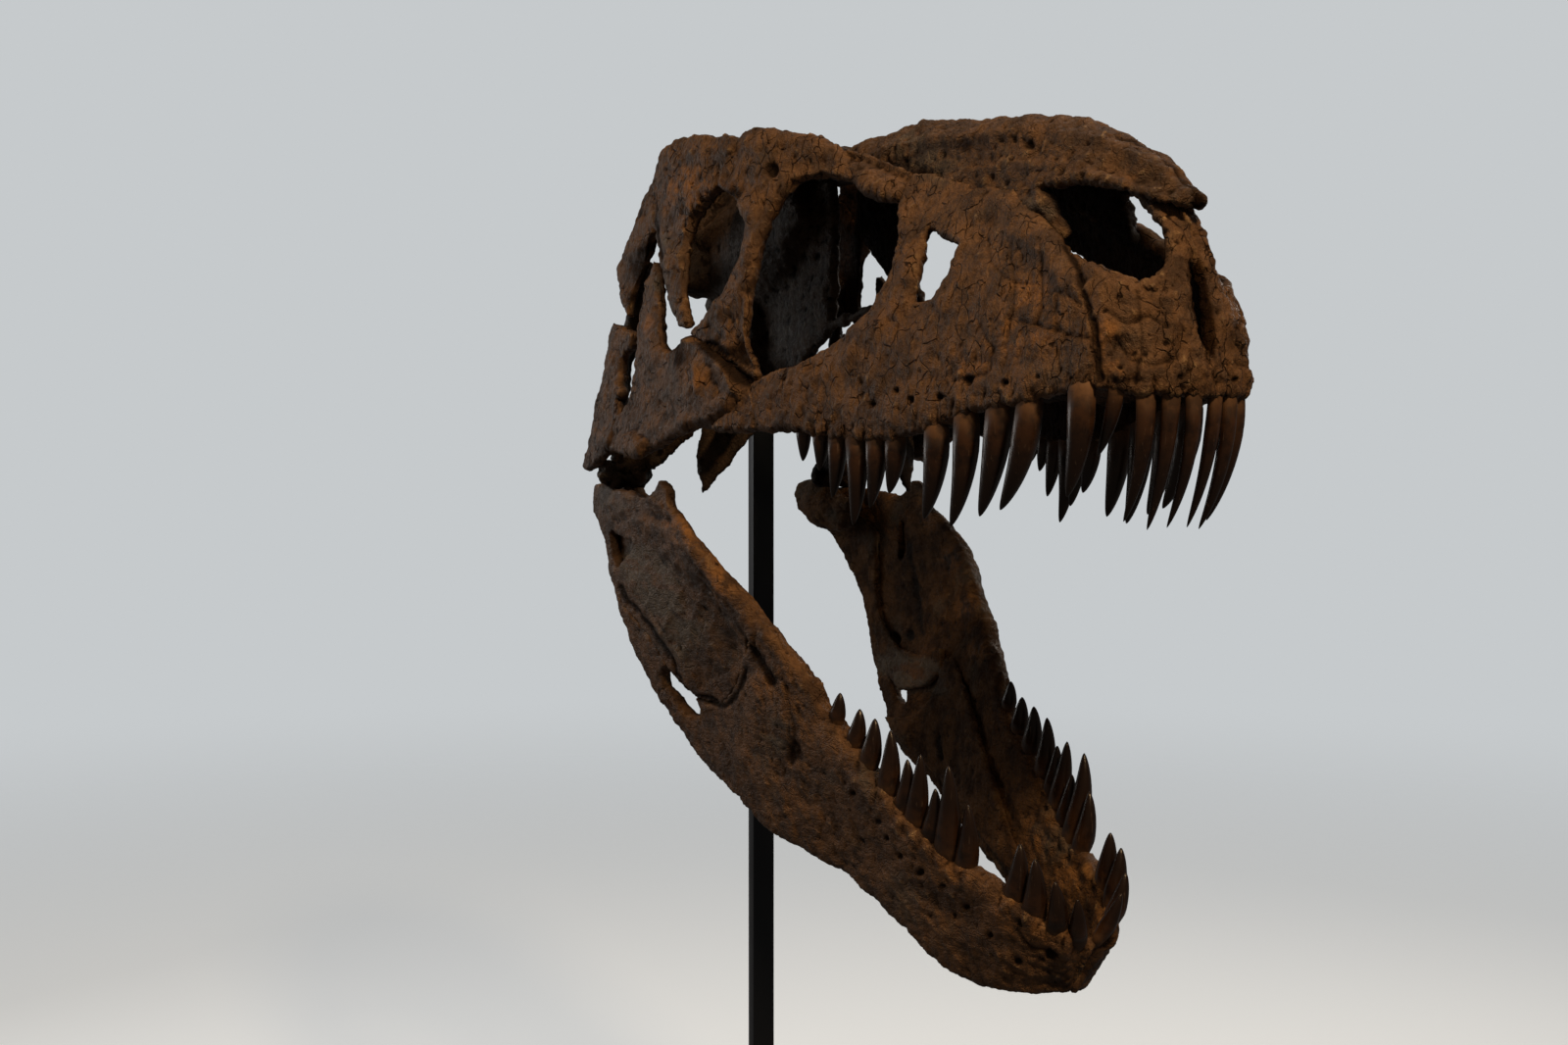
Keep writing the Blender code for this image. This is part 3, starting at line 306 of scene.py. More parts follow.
OUTER_LINES = SKULL_LINES + JAW_LINES
INNER_LINES = [
    ("dentary splenial", 2.6, 4.0, [(958, 752), (960, 775)]),
    ("dentary", 7.0, 5.0, [(985, 700), (1000, 760), (1030, 830)]),
    ("surangular", 4.0, 3.0, [(925, 555), (935, 600), (940, 645)]),
    ("surangular", 9.0, -4.0, [(950, 520), (990, 600), (1000, 660)]),
    ("dentary surangular", 6.0, -3.0, [(905, 700), (930, 690), (958, 668)]),
    ("dentary", 5.0, 3.0, [(1050, 830), (1090, 880), (1130, 930)]),
]
print(len(JAW_LINES), "lines on the outside of the jaw,", len(INNER_LINES), "on the inside")

# %% [markdown]
# Small holes let nerves and blood vessels out, above all along the teeth. Where a bone
# overlaps another or has a rough raised field, a plate lifts it by a few millimetres.
# Some hollows are not pressed in and only get painted shade.

# %% Holes, plates and painted shade
# Holes: bones, radius in pixels, depth in millimetres, place
OUTER_HOLES = [
    ("lacrimal", 6.5, 9.0, (788, 173)), ("nasals", 4.5, 4.5, (1049, 147)),
    ("nasals", 9, -3.5, (1078, 132)), ("nasals", 9, -3.0, (1010, 138)), ("nasals", 7, 2.5, (985, 150)),
    ("maxilla", 4.4, 6.0, (988, 389)), ("maxilla", 3.2, 4.5, (1026, 390)),
    ("maxilla", 3.4, 5.0, (957, 404)), ("maxilla", 3.4, 5.0, (930, 407)),
    ("maxilla", 3.0, 4.5, (912, 399)), ("maxilla", 3.4, 5.0, (889, 412)),
    ("maxilla", 2.6, 4.0, (1058, 384)), ("maxilla", 2.6, 4.0, (1094, 386)),
    ("premaxilla", 3.2, 4.5, (1168, 362)), ("premaxilla", 3.0, 4.0, (1190, 350)),
    ("premaxilla", 3.0, 4.0, (1142, 376)), ("premaxilla", 3.0, 4.0, (1205, 384)),
    ("dentary", 3.4, 4.5, (895, 839)), ("dentary", 3.6, 4.5, (938, 891)),
    ("dentary", 3.0, 4.0, (871, 808)), ("dentary", 3.0, 4.0, (904, 856)),
    ("dentary", 3.2, 4.0, (918, 874)), ("dentary", 5.0, 5.0, (1072, 973)),
    ("dentary", 3.4, 4.0, (1040, 981)), ("dentary", 3.2, 4.0, (985, 925)),
    ("dentary", 3.0, 3.5, (962, 905)), ("dentary", 3.2, 4.0, (1010, 955)),
    ("dentary", 11.0, 3.0, (809, 768)), ("jugal", 11, -4.5, (648, 460)),
    ("quadratojugal", 5, -3.5, (636, 401)), ("squamosal", 8, 3.5, (650, 215)),
]
# Plates: bones, height in millimetres, width of the edge in pixels, outline
OUTER_PLATES = [
    ("quadratojugal jugal", 6.0, 4, [(638, 444), (648, 440), (660, 452), (658, 468), (650, 474),
                                     (641, 462)]),
    ("jugal", 8.0, 6, [(704, 346), (720, 352), (743, 373), (759, 400), (745, 419), (727, 430),
                       (697, 436), (685, 407), (689, 382), (695, 357)]),
    ("nasals", 3.0, 7, [(930, 118), (1000, 108), (1075, 104), (1150, 128), (1205, 176), (1190, 186),
                        (1130, 150), (1060, 138), (1000, 142), (950, 150)]),
    ("maxilla", 3.0, 8, [(1030, 205), (1066, 226), (1096, 262), (1106, 300), (1084, 296), (1062, 262),
                         (1022, 236)]),
    ("premaxilla", 3.0, 9, [(1116, 290), (1160, 300), (1196, 300), (1202, 336), (1180, 350), (1128, 344)]),
    ("premaxilla", 2.5, 8, [(1230, 300), (1262, 330), (1270, 372), (1240, 384), (1226, 350)]),
    ("dentary", 2.5, 10, [(1020, 920), (1096, 945), (1096, 1000), (1040, 1000), (980, 960)]),
    ("surangular", -2.5, 8, [(668, 566), (705, 588), (742, 650), (756, 684), (712, 700), (684, 650)]),
]
# Painted shade in hollows: bones, radius in pixels, strength, place
HOLLOW_SHADE_SPOTS = [
    ("squamosal", 14, 1.2, (653, 276)), ("squamosal", 10, 1.0, (658, 258)),
    ("squamosal", 9, 0.9, (646, 304)), ("lacrimal postorbital", 9, 0.9, (749, 196)),
    ("jugal", 12, 1.1, (692, 350)), ("jugal", 9, 1.0, (700, 368)),
    ("lacrimal", 10, 1.0, (750, 358)), ("nasals lacrimal", 10, 0.5, (930, 186)),
    ("nasals", 16, 0.45, (960, 176)), ("nasals", 10, 0.5, (1100, 172)),
    ("premaxilla", 10, 0.5, (1200, 350)), ("nasals", 12, 0.5, (1000, 188)),
    ("maxilla", 12, 0.5, (1010, 222)), ("surangular", 14, 0.6, (742, 648)),
    ("dentary", 26, 0.5, (1090, 1002)), ("dentary", 22, 0.5, (1126, 988)),
    ("dentary", 30, 0.3, (1010, 995)), ("dentary", 9, 0.8, (1102, 962)),
    ("jugal", 16, 0.45, (646, 420)), ("quadratojugal", 12, 0.6, (626, 462)),
    ("surangular", 18, 0.45, (618, 540)),
    ("maxilla", 20, 0.35, (1096, 396)), ("maxilla", 26, 0.3, (800, 420)),
]
INNER_HOLES = [("surangular", 6.0, 6.0, (912, 652)), ("surangular", 5.0, 5.0, (928, 648))]
print(len(OUTER_HOLES) + len(INNER_HOLES), "holes,", len(OUTER_PLATES), "plates and",
      len(HOLLOW_SHADE_SPOTS), "stains")

# %% [markdown]
# All the marks of a bone are added up here. A line or hole fades out from its middle as a
# bell curve does, so that nothing is cut with a hard edge. A little noise on the places
# makes straight strokes waver. Only what faces the camera is pressed in, because the photo
# says nothing of the far side of a bone.

# %% Press the marks in
FACING_SHARPNESS = 4
WOBBLE_FINENESS = 90
WOBBLE_PIXELS = 1.5
NARROW = 5.0
DEEP_CUT = 7.0
SHADE_DEPTH = 3.5


def line_distance(at, points):
    """Distance of places to a bent line."""
    best = np.full(len(at), np.inf)
    for a, b in zip(points, points[1:]):
        a, b = np.array(a, float), np.array(b, float)
        t = np.clip((at - a) @ (b - a) / ((b - a) @ (b - a)), 0, 1)
        best = np.minimum(best, np.linalg.norm(at - a - t[:, None] * (b - a), axis=1))
    return best


def facing(points, normals):
    """How far a surface faces the camera, 0 where it looks away."""
    to_eye = EYE - points
    to_eye /= np.linalg.norm(to_eye, axis=1)[:, None]
    return np.clip(np.sum(to_eye * normals, axis=1) * FACING_SHARPNESS, 0, 1)


def inside(at, outline):
    """Whether places lie inside a closed outline."""
    odd = np.zeros(len(at), bool)
    for (ax, ay), (bx, by) in zip(outline, outline[1:] + outline[:1]):
        if ay != by:
            odd ^= ((ay > at[:, 1]) != (by > at[:, 1])) & (
                at[:, 0] < ax + (bx - ax) * (at[:, 1] - ay) / (by - ay))
    return odd


def marks(kind, points, normals, seed):
    """Depth in millimetres that the photo's marks press into a bone, and the painted shade they get."""
    total = np.zeros(len(points))
    painted_hollow_shade = np.zeros(len(points))
    fine = points * WOBBLE_FINENESS
    wobble = np.stack([noise(fine, seed), noise(fine, seed + 5)], -1) * WOBBLE_PIXELS
    for side, lines, holes, plates in ((-1, OUTER_LINES, OUTER_HOLES, OUTER_PLATES),
                                       (1, INNER_LINES, INNER_HOLES, [])):
        flip = np.sign(points[:, 1]) * side < 0
        turn = np.where(flip[:, None], (1, -1, 1), (1, 1, 1))
        at = to_picture(points * turn) + wobble
        seen = facing(points * turn, normals * turn)
        for bones, width, depth, path in lines:
            if kind in bones.split():
                cut = seen * depth * np.exp(-(line_distance(at, path) / width) ** 2)
                total += cut
                if width < NARROW or depth > DEEP_CUT:
                    painted_hollow_shade += np.maximum(cut, 0) / SHADE_DEPTH
        for bones, radius, depth, place in holes:
            if kind in bones.split():
                cut = seen * depth * np.exp(-(np.linalg.norm(at - place, axis=1) / radius) ** 4)
                total += cut
                painted_hollow_shade += np.maximum(cut, 0) / SHADE_DEPTH
        if side < 0:
            for bones, radius, strength, place in HOLLOW_SHADE_SPOTS:
                if kind in bones.split():
                    painted_hollow_shade += seen * strength * np.exp(-(np.linalg.norm(at - place, axis=1) / radius) ** 2)
        for bones, rise, edge, outline in plates:
            if kind in bones.split():
                signed = line_distance(at, outline + outline[:1]) * np.where(inside(at, outline), 1, -1)
                total -= seen * rise * np.clip(signed / edge + 0.5, 0, 1)
    return total, np.clip(painted_hollow_shade, 0, 1)


middle = to_picture(np.array([[0.35, -0.15, 1.6]]))[0]
print("a point of the right cheek is at", middle.round(), "in the picture")

# %% [markdown]
# The cast is painted a dull brown, with rust-orange patches and greyer stretches. The
# patches are set like the marks, as soft round spots in the picture: plus is orange and
# minus is grey. They are partly the paint's own colour and partly painted light: warm light
# on the snout, cool light on the rear and inside of the jaw. The inside of the far half of
# the jaw has its own. The material reads the result from the mesh.

# %% Patches of orange and grey, partly painted light
STRONGEST = 1.3
# Place, radius in pixels, strength
TINT_AND_LIGHT_PATCHES = [
    ((690, 200), 26, 0.9), ((715, 185), 18, 0.7), ((672, 245), 12, -1.0), ((676, 290), 12, -0.8),
    ((690, 265), 12, 0.5), ((660, 330), 14, 0.8), ((716, 390), 12, 1.1), ((745, 375), 14, 0.4),
    ((745, 340), 18, 0.5), ((760, 230), 22, -0.2), ((775, 160), 24, -0.4), ((830, 160), 30, -0.3),
    ((890, 175), 16, 0.4), ((925, 150), 28, -0.7), ((960, 170), 26, -0.6), ((1000, 170), 30, -0.2),
    ((1060, 140), 24, 0.4), ((1080, 200), 26, 0.3), ((1150, 190), 30, 0.5), ((960, 310), 40, -0.1),
    ((1050, 300), 34, 0.6), ((1045, 340), 30, 1.0), ((985, 370), 20, 0.9), ((1130, 340), 16, 1.0),
    ((1140, 365), 20, 1.0), ((1190, 320), 22, 0.3), ((1250, 360), 26, 0.5), ((860, 380), 34, -0.3),
    ((820, 385), 20, 0.4), ((640, 420), 16, -0.4), ((620, 350), 12, -0.6), ((700, 540), 24, 0.8),
    ((730, 595), 26, 0.8), ((668, 600), 26, -1.3), ((652, 572), 18, -1.2), ((695, 645), 28, -0.9),
    ((640, 520), 16, -0.6), ((745, 690), 18, 0.4), ((780, 700), 22, 0.5), ((790, 745), 22, -0.8),
    ((820, 790), 26, -0.3), ((870, 830), 34, 0.2), ((980, 900), 24, 0.6), ((1040, 930), 30, 0.7),
    ((1100, 950), 22, 0.8), ((1090, 990), 30, 0.1), ((960, 950), 40, -0.1),
]
INNER_TINT_AND_LIGHT_PATCHES = [
    ((908, 676), 15, -1.3), ((928, 690), 17, -1.3), ((946, 684), 13, -1.2), ((960, 700), 14, -0.7),
    ((950, 530), 14, 0.9), ((972, 570), 15, 1.1), ((988, 620), 15, 1.1), ((996, 665), 14, 0.9),
    ((905, 515), 14, 0.5), ((1060, 850), 22, 0.9), ((1095, 895), 26, 0.9), ((1130, 940), 24, 0.8),
    ((1010, 790), 20, 0.5), ((1030, 740), 18, 0.6),
]


def spots(at, patches):
    """Sum of soft round spots at places in the picture."""
    total = np.zeros(len(at))
    for place, radius, strength in patches:
        total += strength * np.exp(-(np.linalg.norm(at - place, axis=1) / radius) ** 2)
    return np.clip(total, -STRONGEST, STRONGEST)


def tint_and_light(points, normals):
    """Orange or grey share of the paint at each point, partly painted warm and cool light."""
    to_right = np.where(points[:, 1:2] > 0, (1, -1, 1), (1, 1, 1))
    outer = spots(to_picture(points * to_right), TINT_AND_LIGHT_PATCHES)
    inner = spots(to_picture(points * to_right * (1, -1, 1)), INNER_TINT_AND_LIGHT_PATCHES)
    return np.where(normals[:, 1] * points[:, 1] < 0, inner, outer)


print(len(TINT_AND_LIGHT_PATCHES) + len(INNER_TINT_AND_LIGHT_PATCHES), "patches")

# %% [markdown]
# The solids have their teeth fused on, as plain four-sided spikes. A spike's tip is a
# vertex where the faces meet at a sharp point, and its neighbours are the ring at the
# spike's waist. From the two, the place of the root follows, because the spikes all have
# the same proportions. The spikes are then pushed flat into the bone, to make room for
# finer teeth.

# %% Find the teeth and press them flat
WAIST_AT = 0.52
WAIST_SIZE = 0.86
BOW = 0.05
SHARP_TIP = math.radians(125)
LONG_ARM = 1.35
SHORTEST = 0.03
TIP_FACES = 7
ABOVE_ROOT = 0.003
SAME_PLACE = 2e-5
TOOTHED = ("premaxilla", "maxilla", "dentary")
GAPE = math.radians(30.2)
SKULL_FORWARD = np.array((1.0, 0, 0))
JAW_FORWARD = np.array((math.cos(GAPE), 0, -math.sin(GAPE)))


def copy_of(node):
    """A clean bmesh of a solid, its doubled corners merged."""
    data = bmesh.new()
    data.from_mesh(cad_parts[node].data)
    bmesh.ops.remove_doubles(data, verts=data.verts[:], dist=SAME_PLACE)
    return data


def corner_sum(vertex):
    """Sum of the angles that the faces have at a vertex."""
    return sum(loop.calc_angle() for loop in vertex.link_loops)


def take_teeth(data, ahead):
    """Roots, tips and widths of the spikes of a bone, which are pressed flat."""
    found = []
    tips = [v for v in data.verts if len(v.link_faces) <= TIP_FACES and corner_sum(v) < SHARP_TIP]
    for tip_vertex in tips:
        ring = [edge.other_vert(tip_vertex) for edge in tip_vertex.link_edges]
        tip = np.array(tip_vertex.co)
        arms = np.array([v.co for v in ring]) - tip
        reach = np.linalg.norm(arms, axis=1)
        # an arm that runs on to the bone is cut to the length of the others
        whole = reach < reach.min() * LONG_ARM
        places = tip + arms * np.minimum(1, reach[whole].mean() / reach)[:, None]
        waist = places.mean(axis=0)
        run = (tip - waist) / np.linalg.norm(tip - waist)
        wide = ahead - run * (ahead @ run)
        wide /= np.linalg.norm(wide)
        length = np.linalg.norm(tip - waist) / (1 - WAIST_AT)
        root = (waist - BOW * length * wide - WAIST_AT * tip) / (1 - WAIST_AT)
        width = np.linalg.norm(places - waist, axis=1).max() / WAIST_SIZE
        if length < SHORTEST:
            continue
        found.append((root, tip, width))
        for v in [v for v, keep in zip(ring, whole) if keep] + [tip_vertex]:
            v.co = Vector(root + run * ABOVE_ROOT)
    return found


print("bones with teeth:", ", ".join(TOOTHED))

# %% [markdown]
# A bone is made in five steps. Subdivision rounds the facets and draws the outline as a
# smooth curve; only the pointed ends are creased, so that they stay pointed. A voxel
# remesh lays an even grid of small faces over the result. The bone is then swollen a
# little and smoothed, which rounds its rims as real bone is rounded.
# Where it lies against its neighbour it swells more, so that the two knit together. Last,
# the relief is pressed in with numpy, along the surface's own direction.
#
# The first cell finds where the bones lie against each other, by a search tree over each
# solid, and gives it as a number from 0 to 1.

# %% Where bones touch
KNIT_REACH = 0.006
STAND = ("post", "base_plate")


def bone_tree(node):
    """A search tree over a solid, and the solid's box grown by the knitting reach."""
    data = copy_of(node)
    tree = BVHTree.FromBMesh(data)
    places = np.array([v.co for v in data.verts])
    data.free()
    return tree, places.min(axis=0) - KNIT_REACH, places.max(axis=0) + KNIT_REACH


neighbours = {node: bone_tree(node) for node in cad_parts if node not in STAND}


def nearness(node, places):
    """1 where another bone lies against this one, fading to 0 at the knitting reach."""
    near = np.zeros(len(places))
    for other, (tree, low, high) in neighbours.items():
        if other == node:
            continue
        for index in np.nonzero(np.all((places > low) & (places < high), axis=1))[0]:
            gap = tree.find_nearest(places[index], KNIT_REACH)[3]
            if gap is not None:
                near[index] = max(near[index], 1 - gap / KNIT_REACH)
    return near


print(len(neighbours), "bones to search")

# %% [markdown]
# Relief is old bone's surface: broad undulation, knobs as on the nasal bones, cracks,
# streaks along the grain, and pores. Sculpting by hand could give the same, but it couldn't
# be rerun. Each kind is a noise of its own size, and the weights say how much of each a
# bone has. The grain runs along a bone's length, as the fibres of real bone do.

# %% Relief of old bone
BROAD, KNOBS, CRACKS, GRAIN, PORES = range(5)
RELIEF = {
    "nasals": (1.6, 3.7, 0.3, 0.3, 1.4), "lacrimal": (1.8, 2.2, 0.35, 0.8, 0.8),
    "postorbital": (2.0, 2.5, 0.4, 0.8, 0.9), "squamosal": (1.8, 1.4, 0.4, 0.9, 0.7),
    "jugal": (1.6, 0.9, 0.5, 1.0, 0.7), "quadratojugal": (1.8, 1.4, 0.4, 0.9, 0.8),
    "maxilla": (2.2, 1.2, 0.75, 1.0, 0.75), "premaxilla": (2.2, 2.3, 0.7, 0.6, 1.3),
    "dentary": (1.8, 0.8, 0.7, 1.1, 0.9), "surangular": (1.5, 0.4, 0.4, 1.4, 0.6),
    "angular": (1.4, 0.6, 0.3, 1.1, 0.6), "braincase": (2.4, 1.8, 0.6, 0.6, 0.9),
    "quadrate": (2.6, 2.4, 0.6, 0.8, 1.2), "articular": (2.6, 2.2, 0.6, 0.8, 1.2),
}
PLAIN = (1.8, 1.3, 0.4, 0.7, 0.7)
# Which way the grain runs in a bone, forward and up in its own frame
GRAIN_WAY = {
    "maxilla": (0.35, 1.0), "premaxilla": (0.1, 1.0), "postorbital": (0.1, 1.0), "lacrimal": (0.35, 1.0),
    "squamosal": (0.4, 1.0), "quadratojugal": (0.1, 1.0), "jugal": (1.0, 0.25), "nasals": (1.0, 0.0),
    "dentary": (1.0, -0.25), "surangular": (1.0, -0.2), "angular": (1.0, -0.2),
}
JAW_BONES = ("dentary", "surangular", "angular", "splenial", "prearticular", "articular")
# Size in millimetres of the lumps of each noise
BROAD_SIZE = 42
KNOB_SIZE = 26
ROUGH_SIZE = 17
CRACK_CELL = 15
CRACK_WIDTH = 0.13
CRACK_FIELD = 34
CRACK_DRIFT = 14
WRINKLE_SIZE = 13
STREAK_SIZE = 6.5
GRIT_SIZE = 8.0
PORE_SIZE = 8.5
# Depth in millimetres of cracks and pores at a weight of 1
CRACK_DEPTH = 1.7
PORE_DEPTH = 2.6


def relief(kind, p, seed):
    """Height of the bone's own relief in millimetres, p being in millimetres."""
    weight = RELIEF.get(kind, PLAIN)
    way = GRAIN_WAY.get(kind, (1.0, 0.1))
    turn = GAPE if kind in JAW_BONES else 0.0
    along = (way[0] * math.cos(turn) + way[1] * math.sin(turn), 0,
             way[1] * math.cos(turn) - way[0] * math.sin(turn))
    height = weight[BROAD] * 0.9 * octaves(p, BROAD_SIZE, seed, 3)
    rough = 1 - 2 * np.abs(octaves(p, ROUGH_SIZE, seed + 11, 3, 0.55))
    height += weight[KNOBS] * (0.8 * octaves(p, KNOB_SIZE, seed + 21, 3) + 0.35 * rough)
    drift = np.stack([octaves(p, CRACK_DRIFT, seed + 90 + k, 2) for k in range(3)], -1)
    drawn = stretched(p, along, 1.9, 1.0) + 3.0 * drift
    broken = np.clip(octaves(p, CRACK_FIELD, seed + 61, 2) + 0.5, 0, 1)
    crack = np.exp(-((cell_edges(drawn, CRACK_CELL, seed + 51) / CRACK_WIDTH) ** 2))
    height -= weight[CRACKS] * CRACK_DEPTH * crack * broken
    wrinkle = 1 - 2 * np.abs(octaves(stretched(p, along, 3.4, 1.0), WRINKLE_SIZE, seed + 71, 2, 0.6))
    height += weight[CRACKS] * 0.5 * wrinkle
    streaks = octaves(stretched(p, along, 7.0, 1.0), STREAK_SIZE, seed + 31, 2)
    height += weight[GRAIN] * 0.8 * streaks
    height += 0.55 * octaves(p, GRIT_SIZE, seed + 33, 2, 0.8)
    pores = np.clip(octaves(p, PORE_SIZE, seed + 41, 2) - 0.45, 0, 1)
    return height - weight[PORES] * PORE_DEPTH * pores


print("relief for", len(RELIEF), "kinds of bone")

# %% [markdown]
# Two more things shape a bone's surface. Thin rims are ragged, as if chipped. And round
# each tooth the bone swells, with a narrow gap where the tooth goes into its socket.

# %% Ragged rims and tooth sockets
CHIPS = 0.7
JAW_CHIPS = 0.35
CHIP_SIZE = 24
SMALL_CHIP_SIZE = 11
HIGHEST_CHIP = 1.6
SWELL = 2.4
JAW_SWELL = 1.4
SWELL_REACH = 0.036
SWELL_SPREAD = 1.5
GAP_DEPTH = 2.6
GAP_REACH = 0.011
GAP_AT = 1.2
GAP_WIDTH = 0.2


def chips(kind, p, rim, seed):
    """Height that makes the rims of a bone ragged, rim being 1 on a sharp rim."""
    ragged = 1.3 * octaves(p, CHIP_SIZE, seed + 81, 2)
    ragged = ragged + 1.7 * octaves(p, SMALL_CHIP_SIZE, seed + 83, 2, 0.7)
    return rim * np.minimum(ragged, HIGHEST_CHIP) * (JAW_CHIPS if kind in JAW_BONES else CHIPS)


def sockets(kind, places, teeth):
    """Height round the teeth: the bone swells, and a dark gap runs round each root."""
    swell = np.zeros(len(places))
    gap = np.zeros(len(places))
    for root, tip, width in teeth:
        run = (tip - root) / np.linalg.norm(tip - root)
        away = places - root
        along = away @ run
        across = np.linalg.norm(away - along[:, None] * run, axis=1) / width
        swell = np.maximum(swell, np.exp(-((along / SWELL_REACH) ** 2) - (across / SWELL_SPREAD) ** 4))
        gap = np.maximum(gap, np.exp(-((along / GAP_REACH) ** 4) - ((across - GAP_AT) / GAP_WIDTH) ** 2))
    return (JAW_SWELL if kind in JAW_BONES else SWELL) * swell - GAP_DEPTH * gap


print("rims stand out by at most", round(CHIPS * HIGHEST_CHIP, 2), "mm")

# %% [markdown]
# The solid is rounded and covered with an even grid by modifiers: Subdivision Surface,
# Remesh, Displace and Smooth. Modifiers keep the recipe in one stack, and the result is
# taken once, as a plain mesh that numpy can work on. Broad plates are smoothed more than
# thin bars, which would lose their edges.

# %% Round a solid and mesh it finely
RIM_ANGLE = math.radians(48)
RIM_CREASE = 0.8
SHORT_EDGE = 0.001
POINTED = math.cos(math.radians(80))
ROUNDING = 2
# Swelling in metres and smoothing rounds
SOFT = (0.0022, 12)
CRISP = (0.0008, 4)
SOFT_BONES = ("maxilla", "premaxilla", "dentary", "braincase")


def evaluated(item):
    """The mesh that an object's modifiers give."""
    graph = bpy.context.evaluated_depsgraph_get()
    return bpy.data.meshes.new_from_object(item.evaluated_get(graph))


def remeshed(data, name, voxel, softness):
    """An object with an even fine mesh over the rounded shape of a bmesh."""
    crease = data.edges.layers.float.new("crease_edge")
    corner = data.verts.layers.float.new("crease_vert")
    for edge in data.edges:
        if len(edge.link_faces) == 2 and edge.calc_face_angle(0) > RIM_ANGLE:
            edge[crease] = RIM_CREASE
    for vertex in data.verts:
        rims = [edge for edge in vertex.link_edges if edge[crease] > 0 and edge.calc_length() > SHORT_EDGE]
        ways = [(edge.other_vert(vertex).co - vertex.co).normalized() for edge in rims]
        if any(a.dot(b) > POINTED for k, a in enumerate(ways) for b in ways[:k]):
            vertex[corner] = 1.0
    mesh = bpy.data.meshes.new(name)
    data.to_mesh(mesh)
    data.free()
    item = bpy.data.objects.new(name, mesh)
    bpy.context.scene.collection.objects.link(item)
    rounding = item.modifiers.new("rounding", "SUBSURF")
    rounding.levels = rounding.render_levels = ROUNDING
    grid = item.modifiers.new("grid", "REMESH")
    grid.mode = "VOXEL"
    grid.voxel_size = voxel
    swell = item.modifiers.new("swell", "DISPLACE")
    swell.mid_level = 0
    swell.strength = softness[0]
    smooth = item.modifiers.new("smooth", "SMOOTH")
    smooth.factor = 0.5
    smooth.iterations = softness[1]
    bpy.context.view_layer.update()
    fine = evaluated(item)
    item.modifiers.clear()
    item.data = fine
    return item


print("soft bones:", ", ".join(SOFT_BONES))

# %% [markdown]
# Now the steps come together. The mesh becomes arrays, the heights of relief, sockets,
# rims and marks are added up, and each vertex moves along its normal. The paint needs to
# know where the hollows and humps are, for its painted shade and painted highlights, so
# those are kept on the vertices as numbers: how high the relief is, how far a place stands
# out, how much painted shade it gets, its tint, which is partly painted light, and whether
# it faces the inside of the skull, where it gets painted shade.

# %% Make a fine bone
RIM_BULGE = 0.8
BULGE_ROUNDS = 8
KNIT = 0.0022
KNIT_ROUNDS = 3
RELIEF_ROUNDS = 14
INWARD_SHARPNESS = 1.6
MIDLINE_REACH = 0.004
TINT_SHOWS_INSIDE = 0.45


def arrays(mesh):
    """Vertex places, vertex normals and edges of a mesh."""
    count = len(mesh.vertices)
    places = np.zeros(count * 3, np.float32)
    mesh.vertices.foreach_get("co", places)
    normals = np.zeros(count * 3, np.float32)
    mesh.vertex_normals.foreach_get("vector", normals)
    edges = np.zeros(len(mesh.edges) * 2, np.int32)
    mesh.edges.foreach_get("vertices", edges)
    return places.reshape(-1, 3).astype(float), normals.reshape(-1, 3).astype(float), edges.reshape(-1, 2)


def spread(values, edges, rounds):
    """Values averaged with their neighbours' a few times."""
    count = len(values)
    share = np.bincount(edges.ravel(), minlength=count)
    for _ in range(rounds):
        near = np.bincount(edges[:, 0], values[edges[:, 1]], count)
        near += np.bincount(edges[:, 1], values[edges[:, 0]], count)
        values = 0.4 * values + 0.6 * near / np.maximum(share, 1)
    return values


def bulge(places, normals, edges):
    """How far in millimetres each point stands out from the surface round it."""
    middle = np.stack([spread(places[:, k], edges, BULGE_ROUNDS) for k in range(3)], -1)
    return np.sum((places - middle) * normals, axis=1) * 1000


def put(mesh, name, values):
    """Keep a number on each vertex for the material to read."""
    layer = mesh.attributes.new(name, "FLOAT", "POINT")
    layer.data.foreach_set("value", np.asarray(values, np.float32))


